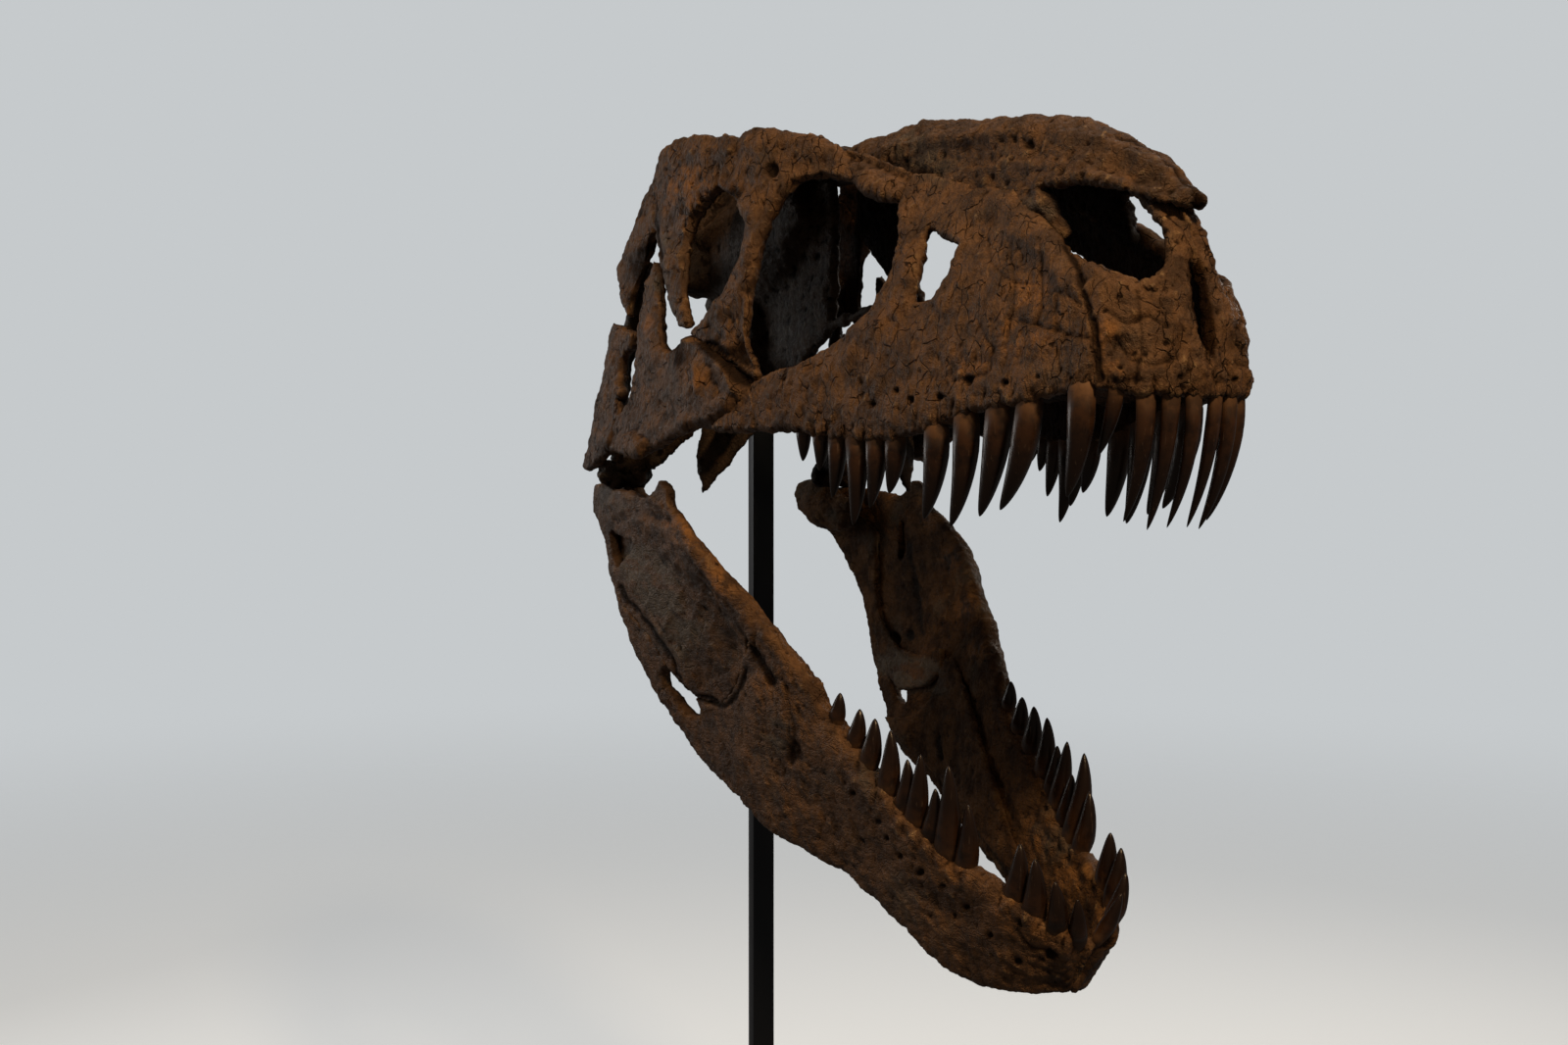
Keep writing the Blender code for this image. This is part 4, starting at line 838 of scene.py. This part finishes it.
def fine_bone(node, voxel, seed):
    """A finely meshed bone in place of a solid, and the teeth found on it."""
    kind = node.rsplit("_", 1)[0] if node.endswith(("_left", "_right")) else node
    data = copy_of(node)
    teeth = []
    if kind in TOOTHED:
        teeth = take_teeth(data, JAW_FORWARD if kind == "dentary" else SKULL_FORWARD)
    item = remeshed(data, node + "_cast", voxel, SOFT if kind in SOFT_BONES else CRISP)
    mesh = item.data
    places, normals, edges = arrays(mesh)
    pressed, painted_hollow_shade = marks(kind, places, normals, seed)
    rim = np.clip(bulge(places, normals, edges) / RIM_BULGE, 0, 1)
    height = relief(kind, places * 1000, seed) + sockets(kind, places, teeth)
    height += chips(kind, places * 1000, rim, seed)
    knit = spread(nearness(node, places), edges, KNIT_ROUNDS) * KNIT
    moved = places + normals * ((height - pressed)[:, None] * 0.001 + knit[:, None])
    mesh.vertices.foreach_set("co", moved.astype(np.float32).ravel())
    mesh.update()
    put(mesh, "relief", height - spread(height, edges, RELIEF_ROUNDS))
    put(mesh, "bulge", bulge(moved, arrays(mesh)[1], edges))
    # painted shade in cracks, holes and hollows
    put(mesh, "painted_hollow_shade", painted_hollow_shade)
    # tint patches: partly paint colour, partly painted warm and cool light
    paint = tint_and_light(places, normals)
    put(mesh, "tint_and_light", paint)
    # faces turned in towards the middle of the skull get painted shade, less where a tint patch lies
    turned_in = np.clip(-normals[:, 1] * np.sign(places[:, 1]) * INWARD_SHARPNESS, 0, 1)
    off_middle = np.abs(places[:, 1]) > MIDLINE_REACH
    faded = 1 - TINT_SHOWS_INSIDE * np.clip(np.abs(paint), 0, 1)
    put(mesh, "inward", turned_in * off_middle * faded)
    mesh.shade_smooth()
    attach(item, "root")
    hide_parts(node)
    return item, teeth


print("a bone swells by", KNIT * 1000, "mm where it meets another")

# %% [markdown]
# A material is a tree of shader nodes. Built by hand in the Shader Editor, a tree this long
# is hard to repeat for four kinds of bone. Short helpers make a node and link it in one
# call, which keeps the recipes below readable.

# %% Helpers for materials
def add_node(tree, kind, links=(), **values):
    """A shader node with settings, and links as input name and output socket."""
    node = tree.nodes.new(kind)
    for name, value in values.items():
        setattr(node, name, value)
    for name, source in dict(links).items():
        if hasattr(source, "is_output"):
            tree.links.new(source, node.inputs[name])
        else:
            node.inputs[name].default_value = source
    return node


def mix_colour(tree, share, first, second, blend="MIX"):
    """One colour over another by a share."""
    node = tree.nodes.new("ShaderNodeMix")
    node.data_type = "RGBA"
    node.blend_type = blend
    for place, source in ((0, share), (6, first), (7, second)):
        if hasattr(source, "is_output"):
            tree.links.new(source, node.inputs[place])
        else:
            node.inputs[place].default_value = source
    return node.outputs[2]


def ramp(tree, source, low, high, start=0.0, end=1.0):
    """A number carried from one range to another and held inside it."""
    links = {"Value": source, "From Min": low, "From Max": high, "To Min": start, "To Max": end}
    return add_node(tree, "ShaderNodeMapRange", links, clamp=True,
                    interpolation_type="SMOOTHSTEP").outputs[0]


def mottle(tree, where, scale, detail=4.0, rough=0.6):
    """Noise from 0 to 1 at a scale in lumps a metre."""
    links = {"Vector": where, "Scale": scale, "Detail": detail, "Roughness": rough}
    return add_node(tree, "ShaderNodeTexNoise", links).outputs["Fac"]


def times(tree, first, second, how="MULTIPLY"):
    """Two numbers combined."""
    return add_node(tree, "ShaderNodeMath", {0: first, 1: second}, operation=how).outputs[0]


print("helpers ready")

# %% [markdown]
# The paint of a cast is built up in layers: a mid brown all over, painted shade that
# darkens the hollows and cracks, and painted highlights on the ridges and rims, with small
# flecks that stand in for glints. The material follows the same steps. The painted shade
# and highlights come from the numbers kept on the mesh, and the mottling from noise in
# the object's own space. Streaks are the same noise on squeezed coordinates.

# %% Bone material
BROWN = (0.118, 0.050, 0.017, 1)
DARK_BROWN = (0.050, 0.021, 0.008, 1)
RUST = (0.225, 0.084, 0.018, 1)
GREY = (0.110, 0.078, 0.050, 1)
DARK_SPECKS_AND_PAINTED_SHADE = (0.013, 0.007, 0.004, 1)
PAINTED_HIGHLIGHT = (0.300, 0.165, 0.066, 1)
SKULL_INSIDE_SHADE = (0.17, 0.155, 0.145, 1)
JAW_INSIDE_SHADE = (0.85, 0.90, 0.94, 1)
CRACK_CELLS = 62
PAINT_WARP = 0.016
DRIFT_SCALE = 40.0
SATIN_TINT = (1.0, 0.80, 0.58, 1)


def bone_material(name, turn, squeeze, grey_share, crack_share, tone_and_painted_shade, inner=SKULL_INSIDE_SHADE):
    """Painted cast bone, its streaks turned and squeezed as the bone's grain runs."""
    material = bpy.data.materials.new(name)
    material.use_nodes = True
    tree = material.node_tree
    shader = tree.nodes["Principled BSDF"]
    place = add_node(tree, "ShaderNodeTexCoord").outputs["Object"]
    drift = add_node(tree, "ShaderNodeTexNoise",
                     {"Vector": place, "Scale": DRIFT_SCALE, "Detail": 3.0}).outputs["Color"]
    bent = add_node(tree, "ShaderNodeVectorMath", {0: drift, 1: (PAINT_WARP,) * 3, 2: place},
                    operation="MULTIPLY_ADD").outputs[0]
    grain = add_node(tree, "ShaderNodeMapping", {"Vector": bent, "Rotation": (0, turn, 0),
                                                 "Scale": squeeze}).outputs[0]
    half = tuple(0.4 + 0.6 * part for part in squeeze)
    coarse_grain = add_node(tree, "ShaderNodeMapping", {"Vector": bent, "Rotation": (0, turn, 0),
                                                        "Scale": half}).outputs[0]
    height = add_node(tree, "ShaderNodeAttribute", attribute_name="relief").outputs["Fac"]
    hump = add_node(tree, "ShaderNodeAttribute", attribute_name="bulge").outputs["Fac"]
    # painted shade in cracks, holes and hollows, read from the mesh
    painted_hollow_shade = add_node(tree, "ShaderNodeAttribute", attribute_name="painted_hollow_shade").outputs["Fac"]
    patch = add_node(tree, "ShaderNodeAttribute", attribute_name="tint_and_light").outputs["Fac"]
    inward = add_node(tree, "ShaderNodeAttribute", attribute_name="inward").outputs["Fac"]

    broad = mottle(tree, place, 9)
    middle = mottle(tree, bent, 34)
    small = mottle(tree, bent, 150, 5.0, 0.7)
    streaks = mottle(tree, grain, 60, 4.0, 0.65)
    fine_streaks = mottle(tree, grain, 210, 3.0, 0.6)
    borders = add_node(tree, "ShaderNodeTexVoronoi", {"Vector": coarse_grain, "Scale": CRACK_CELLS},
                       feature="DISTANCE_TO_EDGE").outputs["Distance"]
    cracks = times(tree, ramp(tree, borders, 0.045, 0.0), ramp(tree, streaks, 0.42, 0.56))
    cracks = times(tree, cracks, crack_share)

    colour = mix_colour(tree, ramp(tree, middle, 0.38, 0.60), DARK_BROWN, BROWN)
    # orange, partly painted warm light where the tint patches are plus
    warm = times(tree, ramp(tree, patch, 0.05, 1.0), ramp(tree, middle, 0.35, 0.6))
    warm = times(tree, warm, times(tree, ramp(tree, broad, 0.55, 0.70), 0.35), "ADD")
    colour = mix_colour(tree, ramp(tree, warm, 0.0, 1.0, 0.0, 0.75), colour, RUST)
    # grey, partly painted cool light where the tint patches are minus
    cool = times(tree, ramp(tree, patch, -0.1, -1.0), ramp(tree, streaks, 0.34, 0.56))
    cool = times(tree, cool, times(tree, ramp(tree, broad, 0.46, 0.34), grey_share), "ADD")
    colour = mix_colour(tree, ramp(tree, cool, 0.0, 1.0, 0.0, 0.85), colour, GREY)
    colour = mix_colour(tree, ramp(tree, fine_streaks, 0.54, 0.68, 0.0, 0.5), colour, DARK_BROWN)
    colour = mix_colour(tree, ramp(tree, small, 0.58, 0.74, 0.0, 0.7), colour, DARK_SPECKS_AND_PAINTED_SHADE)
    # painted highlight: high relief, rims and small random flecks are lightened, the flecks standing in
    # for glints
    lit = times(tree, ramp(tree, height, 0.3, 1.9), ramp(tree, small, 0.56, 0.42))
    edge = times(tree, ramp(tree, hump, 0.6, 2.2, 0.0, 0.4), ramp(tree, middle, 0.45, 0.62))
    painted_glint = ramp(tree, small, 0.36, 0.26, 0.0, 0.8)
    lit = times(tree, times(tree, lit, edge, "MAXIMUM"), painted_glint, "MAXIMUM")
    colour = mix_colour(tree, ramp(tree, lit, 0.0, 1.0, 0.0, 0.66), colour, PAINTED_HIGHLIGHT)
    # painted shade: low relief, hollow places, cracks and the marked hollows are darkened towards a near
    # black
    deep = times(tree, ramp(tree, height, -0.2, -2.2, 0.0, 0.9), ramp(tree, hump, -0.3, -1.3, 0.0, 0.7),
                 "MAXIMUM")
    deep = times(tree, times(tree, deep, cracks, "MAXIMUM"), painted_hollow_shade, "MAXIMUM")
    colour = mix_colour(tree, ramp(tree, deep, 0.0, 1.0, 0.0, 0.93), colour, DARK_SPECKS_AND_PAINTED_SHADE)
    # painted shade: faces turned into the skull are darkened, and on the jaw also made a little cooler
    colour = mix_colour(tree, times(tree, inward, 0.95), colour, inner, "MULTIPLY")
    # the whole colour is scaled per material, a plain tone for some and painted shade for others
    colour = mix_colour(tree, 1.0, colour, (tone_and_painted_shade, tone_and_painted_shade, tone_and_painted_shade, 1), "MULTIPLY")
    tree.links.new(colour, shader.inputs["Base Color"])

    tree.links.new(ramp(tree, small, 0.3, 0.7, 0.42, 0.70), shader.inputs["Roughness"])
    # the dark hollows don't shine
    dull = times(tree, deep, inward, "MAXIMUM")
    tree.links.new(ramp(tree, dull, 0.0, 0.9, 0.30, 0.04), shader.inputs["Specular IOR Level"])
    shader.inputs["Specular Tint"].default_value = SATIN_TINT
    grit = mottle(tree, place, 420, 4.0, 0.7)
    ground = times(tree, times(tree, small, -1.1), times(tree, fine_streaks, -0.9), "ADD")
    ground = times(tree, ground, times(tree, grit, 0.4), "ADD")
    ground = times(tree, ground, times(tree, cracks, -0.8), "ADD")
    bump = add_node(tree, "ShaderNodeBump", {"Height": ground, "Strength": 0.95, "Distance": 0.0040})
    tree.links.new(bump.outputs[0], shader.inputs["Normal"])
    return material


UPRIGHT = (1.0, 1.0, 0.13)
LENGTHWISE = (0.13, 1.0, 1.0)
# The second last number scales the whole colour: 0.32 is painted shade on the bones deep inside, 0.74
# painted shade on the roof's lit top.
cheek_bone = bone_material("cheek_bone", 0.25, UPRIGHT, 0.3, 0.85, 0.94)
roof_bone = bone_material("roof_bone", 0.0, (0.6, 1.0, 1.0), 0.8, 0.45, 0.74)
jaw_bone = bone_material("jaw_bone", -GAPE - 0.2, LENGTHWISE, 0.5, 0.4, 1.08, JAW_INSIDE_SHADE)
deep_bone = bone_material("deep_bone", 0.0, (0.5, 1.0, 0.5), 0.4, 0.3, 0.32)
print("bone materials ready")

# %% [markdown]
# Each bone is now made. The snout and cheeks get the finest grid, the jaws a coarser one,
# and the bones deep inside the coarsest, which keeps the whole skull under a million
# triangles. Each bone has a seed of its own, so that no two have the same relief.

# %% The bones
SNOUT_VOXEL = 0.0025
CHEEK_VOXEL = 0.0027
JAW_VOXEL = 0.0031
SMALL_JAW_VOXEL = 0.0034
ROOF_VOXEL = 0.0026
DEEP_VOXEL = 0.0042
SNOUT = ("premaxilla", "maxilla")
CHEEK = ("premaxilla", "maxilla", "lacrimal", "postorbital", "squamosal", "jugal", "quadratojugal")
OUTER_JAW = ("dentary", "surangular", "angular")
DEEP = ("pterygoid", "palatine", "quadrate")
# Seeds of the first bone of each group, and the steps between bones and sides
CHEEK_SEED = 1
JAW_SEED = 41
DEEP_SEED = 71
ROOF_SEED = 301
BONE_STEP = 3
SIDE_STEP = 100
bones = {}
teeth_found = {}


def make_bone(node, voxel, material, seed):
    """One bone with its material."""
    item, teeth = fine_bone(node, voxel, seed)
    item.data.materials.clear()
    item.data.materials.append(material)
    bones[node] = item
    teeth_found[node] = teeth


for side, side_seed in (("right", 0), ("left", SIDE_STEP)):
    for number, kind in enumerate(CHEEK):
        voxel = SNOUT_VOXEL if kind in SNOUT else CHEEK_VOXEL
        make_bone(f"{kind}_{side}", voxel, cheek_bone, side_seed + BONE_STEP * number + CHEEK_SEED)
    for number, kind in enumerate(JAW_BONES):
        voxel = JAW_VOXEL if kind in OUTER_JAW else SMALL_JAW_VOXEL
        make_bone(f"{kind}_{side}", voxel, jaw_bone, side_seed + BONE_STEP * number + JAW_SEED)
    for number, kind in enumerate(DEEP):
        make_bone(f"{kind}_{side}", DEEP_VOXEL, deep_bone, side_seed + BONE_STEP * number + DEEP_SEED)
make_bone("nasals", ROOF_VOXEL, roof_bone, ROOF_SEED)
make_bone("vomer", DEEP_VOXEL, deep_bone, ROOF_SEED + BONE_STEP)
make_bone("braincase", DEEP_VOXEL, deep_bone, ROOF_SEED + 2 * BONE_STEP)
print(len(bones), "bones", sum(len(item.data.polygons) for item in bones.values()) * 2, "triangles,",
      {node: len(found) for node, found in teeth_found.items() if found})

# %% [markdown]
# The teeth are long, curved and a little flattened, and their enamel is dark, smooth and
# glossy, unlike the bone. One tooth is a tapering tube: rings are set along a gently
# bowed line and narrow towards the tip, slowly at first and then fast, which gives the
# banana shape of these teeth. Faint lengthwise ridges break the highlight. A curve with a
# bevel would give a round tube, but the ridges and the flat sides need rings.

# %% The shape of a tooth
TOOTH_AROUND = 18
TOOTH_RINGS = 20
TOOTH_ROOT = 0.009
# Thickness over width, at the middle and at the root, and where the middle's begins
TOOTH_THICK = 0.90
ROOT_THICK = 0.58
THICK_FROM = 0.3
TOOTH_NECK = 0.45
TOOTH_BOW = 0.065
BOW_SPREAD = 0.3
TAPER_START = 1.45
TAPER_BLUNT = 0.60
RIDGE = 0.022
RIDGES = 7
FLUTE = 0.012
FLUTES = 3


def across(way, run):
    """The part of a direction that is square to a tooth's run."""
    way = way - run * (way @ run)
    return way / np.linalg.norm(way)


def tooth_rings(root, tip, width, ahead, row, chance):
    """Vertices of one tooth, ring by ring, with its length share for each ring."""
    run = (tip - root) / np.linalg.norm(tip - root)
    bend = across(ahead, run)
    wide = across(row, run)
    deep = np.cross(run, wide)
    length = np.linalg.norm(tip - root)
    bow = TOOTH_BOW * (1.0 + BOW_SPREAD * chance.uniform(-1, 1))
    verts, shares = [], []
    turn = np.linspace(0, 2 * math.pi, TOOTH_AROUND, endpoint=False)
    ridge = 1 + RIDGE * np.sin(turn * RIDGES + chance.uniform(0, 6)) + FLUTE * np.sin(turn * FLUTES)
    # rings lie closer together towards the blunt tip
    for s in np.linspace(0, 1, TOOTH_RINGS):
        t = -TOOTH_ROOT / length + (1 + TOOTH_ROOT / length) * math.sin(s * math.pi / 2) ** 0.9
        buried = max(0.0, -t * length / TOOTH_ROOT)
        taper = max(1e-4, 1 - max(0.0, t) ** TAPER_START) ** TAPER_BLUNT - TOOTH_NECK * buried
        centre = root + (tip - root) * t + bend * bow * length * max(0.0, t) * (1 - t) * 4
        size = width * taper
        ring = centre + np.outer(np.cos(turn) * ridge, wide) * size
        thick = ROOT_THICK + (TOOTH_THICK - ROOT_THICK) * min(1.0, max(0.0, t) / THICK_FROM)
        ring = ring + np.outer(np.sin(turn) * ridge, deep) * size * thick
        verts.append(ring)
        shares.append(np.full(TOOTH_AROUND, t))
    return np.concatenate(verts), np.concatenate(shares)


def tooth_faces(first):
    """Faces of one tooth whose vertices start at a number."""
    faces = []
    for ring in range(TOOTH_RINGS - 1):
        for k in range(TOOTH_AROUND):
            a = first + ring * TOOTH_AROUND + k
            b = first + ring * TOOTH_AROUND + (k + 1) % TOOTH_AROUND
            faces.append((a, b, b + TOOTH_AROUND, a + TOOTH_AROUND))
    last = first + (TOOTH_RINGS - 1) * TOOTH_AROUND
    faces.append(tuple(range(first, first + TOOTH_AROUND))[::-1])
    faces.append(tuple(range(last, last + TOOTH_AROUND)))
    return faces


print(TOOTH_RINGS * TOOTH_AROUND, "vertices in a tooth")

# %% [markdown]
# Enamel is dark, almost black at the tip, and glossy, with pale streaks along the tooth. By
# the root it passes into the browns of the bone and goes dull. The share of the tooth's
# length is kept on the mesh, so that the material knows root from tip whichever way the
# tooth points.

# %% Enamel
ENAMEL = (0.012, 0.0055, 0.0032, 1)
ENAMEL_WARM = (0.046, 0.018, 0.007, 1)
ENAMEL_PALE = (0.130, 0.080, 0.048, 1)
ENAMEL_SHINE = (1.0, 0.84, 0.68, 1)


def enamel_material():
    """Dark glossy enamel, warmer by the root, with pale lengthwise streaks."""
    material = bpy.data.materials.new("enamel")
    material.use_nodes = True
    tree = material.node_tree
    shader = tree.nodes["Principled BSDF"]
    place = add_node(tree, "ShaderNodeTexCoord").outputs["Object"]
    long = add_node(tree, "ShaderNodeMapping", {"Vector": place, "Scale": (1.0, 1.0, 0.12)}).outputs[0]
    share = add_node(tree, "ShaderNodeAttribute", attribute_name="share").outputs["Fac"]
    cloud = mottle(tree, place, 55)
    streaks = mottle(tree, long, 300, 3.0, 0.6)
    warm = times(tree, ramp(tree, share, 0.70, 0.05), ramp(tree, cloud, 0.34, 0.60))
    colour = mix_colour(tree, warm, ENAMEL, ENAMEL_WARM)
    colour = mix_colour(tree, ramp(tree, streaks, 0.62, 0.74, 0.0, 0.3), colour, ENAMEL_PALE)
    rooted = times(tree, share, times(tree, cloud, 0.22), "ADD")
    root_colour = mix_colour(tree, ramp(tree, cloud, 0.4, 0.6), DARK_BROWN, BROWN)
    colour = mix_colour(tree, ramp(tree, rooted, 0.34, 0.14, 0.0, 0.9), colour, root_colour)
    tree.links.new(colour, shader.inputs["Base Color"])
    tree.links.new(ramp(tree, rooted, 0.18, 0.40, 0.72, 0.27), shader.inputs["Roughness"])
    shader.inputs["Specular IOR Level"].default_value = 0.26
    shader.inputs["Specular Tint"].default_value = ENAMEL_SHINE
    bump = add_node(tree, "ShaderNodeBump", {"Height": streaks, "Strength": 0.35, "Distance": 0.0012})
    tree.links.new(bump.outputs[0], shader.inputs["Normal"])
    return material


enamel = enamel_material()
print("enamel ready")

# %% [markdown]
# The teeth of one bone are joined in one piece, because they never move apart. A tooth is
# flattened across its row, so its width has to run along the row, which bends round the
# snout. The way to the nearest other tooth gives that direction at each root.

# %% Rows of teeth
# How much wider the teeth are than the solids' spikes
TOOTH_WIDER = {"premaxilla": 1.0, "maxilla": 1.3, "dentary": 1.46}

for node, found in teeth_found.items():
    if not found:
        continue
    chance = np.random.default_rng(len(node) * 7 + (1 if node.endswith("left") else 0))
    ahead = JAW_FORWARD if node.startswith("dentary") else SKULL_FORWARD
    verts, shares, faces = [], [], []
    wider = TOOTH_WIDER[node.rsplit("_", 1)[0]]
    roots = np.array([root for root, tip, width in found])
    for root, tip, width in found:
        nearest = roots[np.argsort(np.linalg.norm(roots - root, axis=1))[1]]
        ring_verts, ring_shares = tooth_rings(root, tip, width * wider, ahead, nearest - root, chance)
        faces += tooth_faces(sum(len(v) for v in verts))
        verts.append(ring_verts)
        shares.append(ring_shares)
    mesh = bpy.data.meshes.new(node + "_teeth")
    mesh.from_pydata(np.concatenate(verts).tolist(), [], faces)
    put(mesh, "share", np.concatenate(shares))
    mesh.materials.append(enamel)
    row = bpy.data.objects.new(node + "_teeth", mesh)
    bpy.context.scene.collection.objects.link(row)
    data = bmesh.new()
    data.from_mesh(mesh)
    bmesh.ops.recalc_face_normals(data, faces=data.faces[:])
    data.to_mesh(mesh)
    data.free()
    mesh.shade_smooth()
    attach(row, "root")
print("teeth", sum(len(found) for found in teeth_found.values()))

# %% [markdown]
# The stand is plain steel, painted satin black. Paint on steel is never quite even: a
# faint cloud changes how it shines, and fine specks of dust lie on it. Without them the
# post would look like a flat black strip.

# %% Black paint
BLACK = (0.0045, 0.0045, 0.005, 1)
DUST = (0.030, 0.029, 0.027, 1)


def steel_material():
    """Black satin paint with a little dust and faint unevenness."""
    material = bpy.data.materials.new("black_paint")
    material.use_nodes = True
    tree = material.node_tree
    shader = tree.nodes["Principled BSDF"]
    place = add_node(tree, "ShaderNodeTexCoord").outputs["Object"]
    cloud = mottle(tree, place, 14)
    speck = mottle(tree, place, 700, 3.0, 0.6)
    dust = times(tree, ramp(tree, cloud, 0.45, 0.7), ramp(tree, speck, 0.5, 0.72))
    colour = mix_colour(tree, times(tree, dust, 0.35), BLACK, DUST)
    tree.links.new(colour, shader.inputs["Base Color"])
    tree.links.new(ramp(tree, cloud, 0.3, 0.7, 0.36, 0.5), shader.inputs["Roughness"])
    shader.inputs["Specular IOR Level"].default_value = 0.3
    bump = add_node(tree, "ShaderNodeBump", {"Height": speck, "Strength": 0.2, "Distance": 0.0004})
    tree.links.new(bump.outputs[0], shader.inputs["Normal"])
    return material


black_paint = steel_material()
print("paint ready")

# %% [markdown]
# The post is a square tube with slightly rounded corners, and the base a round plate. A
# bevel on a few edges does both. The tube is the solid itself, with its four long edges
# bevelled, so its turn comes with it. The plate is a cylinder of the solid's size with
# more sides, so that its rim is round, and with its upper edge bevelled.

# %% Stand
TUBE_CORNER = 0.0022
PLATE_EDGE = 0.003
PLATE_SIDES = 128
BEVEL_STEPS = 4
FLAT_ANGLE = 0.02
LONG_EDGE = 0.5
SHARP_EDGE = math.radians(35)


def bevelled(data, name, edges, width):
    """A piece of the stand with its edges rounded."""
    bmesh.ops.bevel(data, geom=edges, offset=width, segments=BEVEL_STEPS, profile=0.5, affect="EDGES")
    mesh = bpy.data.meshes.new(name)
    data.to_mesh(mesh)
    data.free()
    mesh.shade_smooth()
    mesh.set_sharp_from_angle(angle=SHARP_EDGE)
    mesh.materials.append(black_paint)
    item = bpy.data.objects.new(name, mesh)
    bpy.context.scene.collection.objects.link(item)
    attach(item, "root")
    return item


data = copy_of("post")
bmesh.ops.dissolve_limit(data, angle_limit=FLAT_ANGLE, verts=data.verts[:], edges=data.edges[:])
upright = [edge for edge in data.edges if abs(edge.verts[0].co.z - edge.verts[1].co.z) > LONG_EDGE]
tube = bevelled(data, "post_tube", upright, TUBE_CORNER)
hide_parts("post")

low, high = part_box("base_plate")
data = bmesh.new()
bmesh.ops.create_cone(data, cap_ends=True, segments=PLATE_SIDES, radius1=high.x, radius2=high.x,
                      depth=high.z - low.z)
bmesh.ops.translate(data, vec=(0, 0, (high.z + low.z) / 2), verts=data.verts[:])
top_rim = [edge for edge in data.edges if all(v.co.z > high.z - SAME_PLACE for v in edge.verts)]
disc = bevelled(data, "base_disc", top_rim, PLATE_EDGE)
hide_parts("base_plate")
print("stand ready")

# %% [markdown]
# The stand needs a floor under it. The floor could end at a wall, but the join would draw a
# line behind the skull. Here the floor fades out towards its rim, so that it passes into
# the even pale backdrop. It is hidden from the rays that carry its light to other things,
# because a floor this pale would light the skull from below.

# %% Floor
FLOOR_SIZE = 12.0
FADE_FROM = 1.6
FADE_TO = 9.0
FLOOR_GLOW = 0.55
PALE = (0.86, 0.87, 0.87, 1)
BACKDROP = (0.565, 0.590, 0.605, 1)


def floor_material():
    """Pale matt floor that fades out with the distance from its middle."""
    material = bpy.data.materials.new("floor_paint")
    material.use_nodes = True
    tree = material.node_tree
    shader = tree.nodes["Principled BSDF"]
    shader.inputs["Base Color"].default_value = PALE
    shader.inputs["Roughness"].default_value = 0.9
    shader.inputs["Emission Color"].default_value = BACKDROP
    shader.inputs["Emission Strength"].default_value = FLOOR_GLOW
    place = add_node(tree, "ShaderNodeTexCoord").outputs["Object"]
    away = add_node(tree, "ShaderNodeVectorMath", {0: place}, operation="LENGTH").outputs["Value"]
    tree.links.new(ramp(tree, away, FADE_TO, FADE_FROM), shader.inputs["Alpha"])
    return material


floor = bpy.data.meshes.new("floor")
data = bmesh.new()
bmesh.ops.create_circle(data, cap_ends=True, segments=64, radius=FLOOR_SIZE)
data.to_mesh(floor)
data.free()
floor.materials.append(floor_material())
floor_object = bpy.data.objects.new("floor", floor)
floor_object.visible_diffuse = False
floor_object.visible_glossy = False
bpy.context.scene.collection.objects.link(floor_object)
print("floor", 2 * FLOOR_SIZE, "m across, fading from", FADE_FROM, "m")

# %% [markdown]
# The photo was taken against the light, so the skull is dark on a pale ground. A warm lamp
# ahead of the snout models its front, and a second one above and to the right brings out
# the cheek. A weak cool one from behind on the right greys the rear of the jaw. Two more,
# from above and from behind on the left, keep the top and the left side from going black.
# The hollows stay dark because the strong lamps are small and the fill light is weak, and because painted
# shade darkens them.

# %% Lamps
FILL = (0.108, 0.104, 0.102, 1)
SKULL_MIDDLE = (0.35, 0.0, 1.5)


def lamp(name, place, size, power, colour):
    """A round lamp aimed at the middle of the skull, its size in metres, its power in watts."""
    light = bpy.data.lights.new(name, "AREA")
    light.shape = "DISK"
    light.size = size
    light.energy = power
    light.color = colour
    item = bpy.data.objects.new(name, light)
    item.location = place
    item.rotation_euler = (Vector(SKULL_MIDDLE) - Vector(place)).to_track_quat("-Z", "Y").to_euler()
    bpy.context.scene.collection.objects.link(item)


lamp("snout_lamp", (2.7, -0.3, 3.3), 0.35, 63, (1.0, 0.79, 0.52))
lamp("cheek_lamp", (1.1, -1.7, 4.3), 0.5, 43, (1.0, 0.85, 0.66))
lamp("jaw_lamp", (-2.3, -1.4, 1.9), 1.4, 13, (0.93, 0.95, 0.97))
lamp("top_lamp", (0.2, 0.9, 4.0), 1.6, 12, (1.0, 0.96, 0.90))
lamp("left_lamp", (-0.9, 2.9, 2.7), 1.2, 16, (1.0, 0.94, 0.86))
print(len(bpy.data.lights), "lamps")

# %% [markdown]
# The backdrop is the world itself. What the camera sees of it has to be pale, but a world
# that pale would fill every hollow with light. A Light Path node tells the two apart: the
# camera gets the backdrop's colour and everything else a dim fill. The Standard view keeps
# colours as they are set here, where Blender's usual view would grey the brightest ones.

# %% Backdrop
world = bpy.data.worlds.new("sky")
world.use_nodes = True
sky = world.node_tree
seen = add_node(sky, "ShaderNodeLightPath").outputs["Is Camera Ray"]
sky.links.new(mix_colour(sky, seen, FILL, BACKDROP), sky.nodes["Background"].inputs[0])
bpy.context.scene.world = world
bpy.context.scene.view_settings.view_transform = "Standard"
print("backdrop ready")

# %% Finish
bpy.context.view_layer.update()
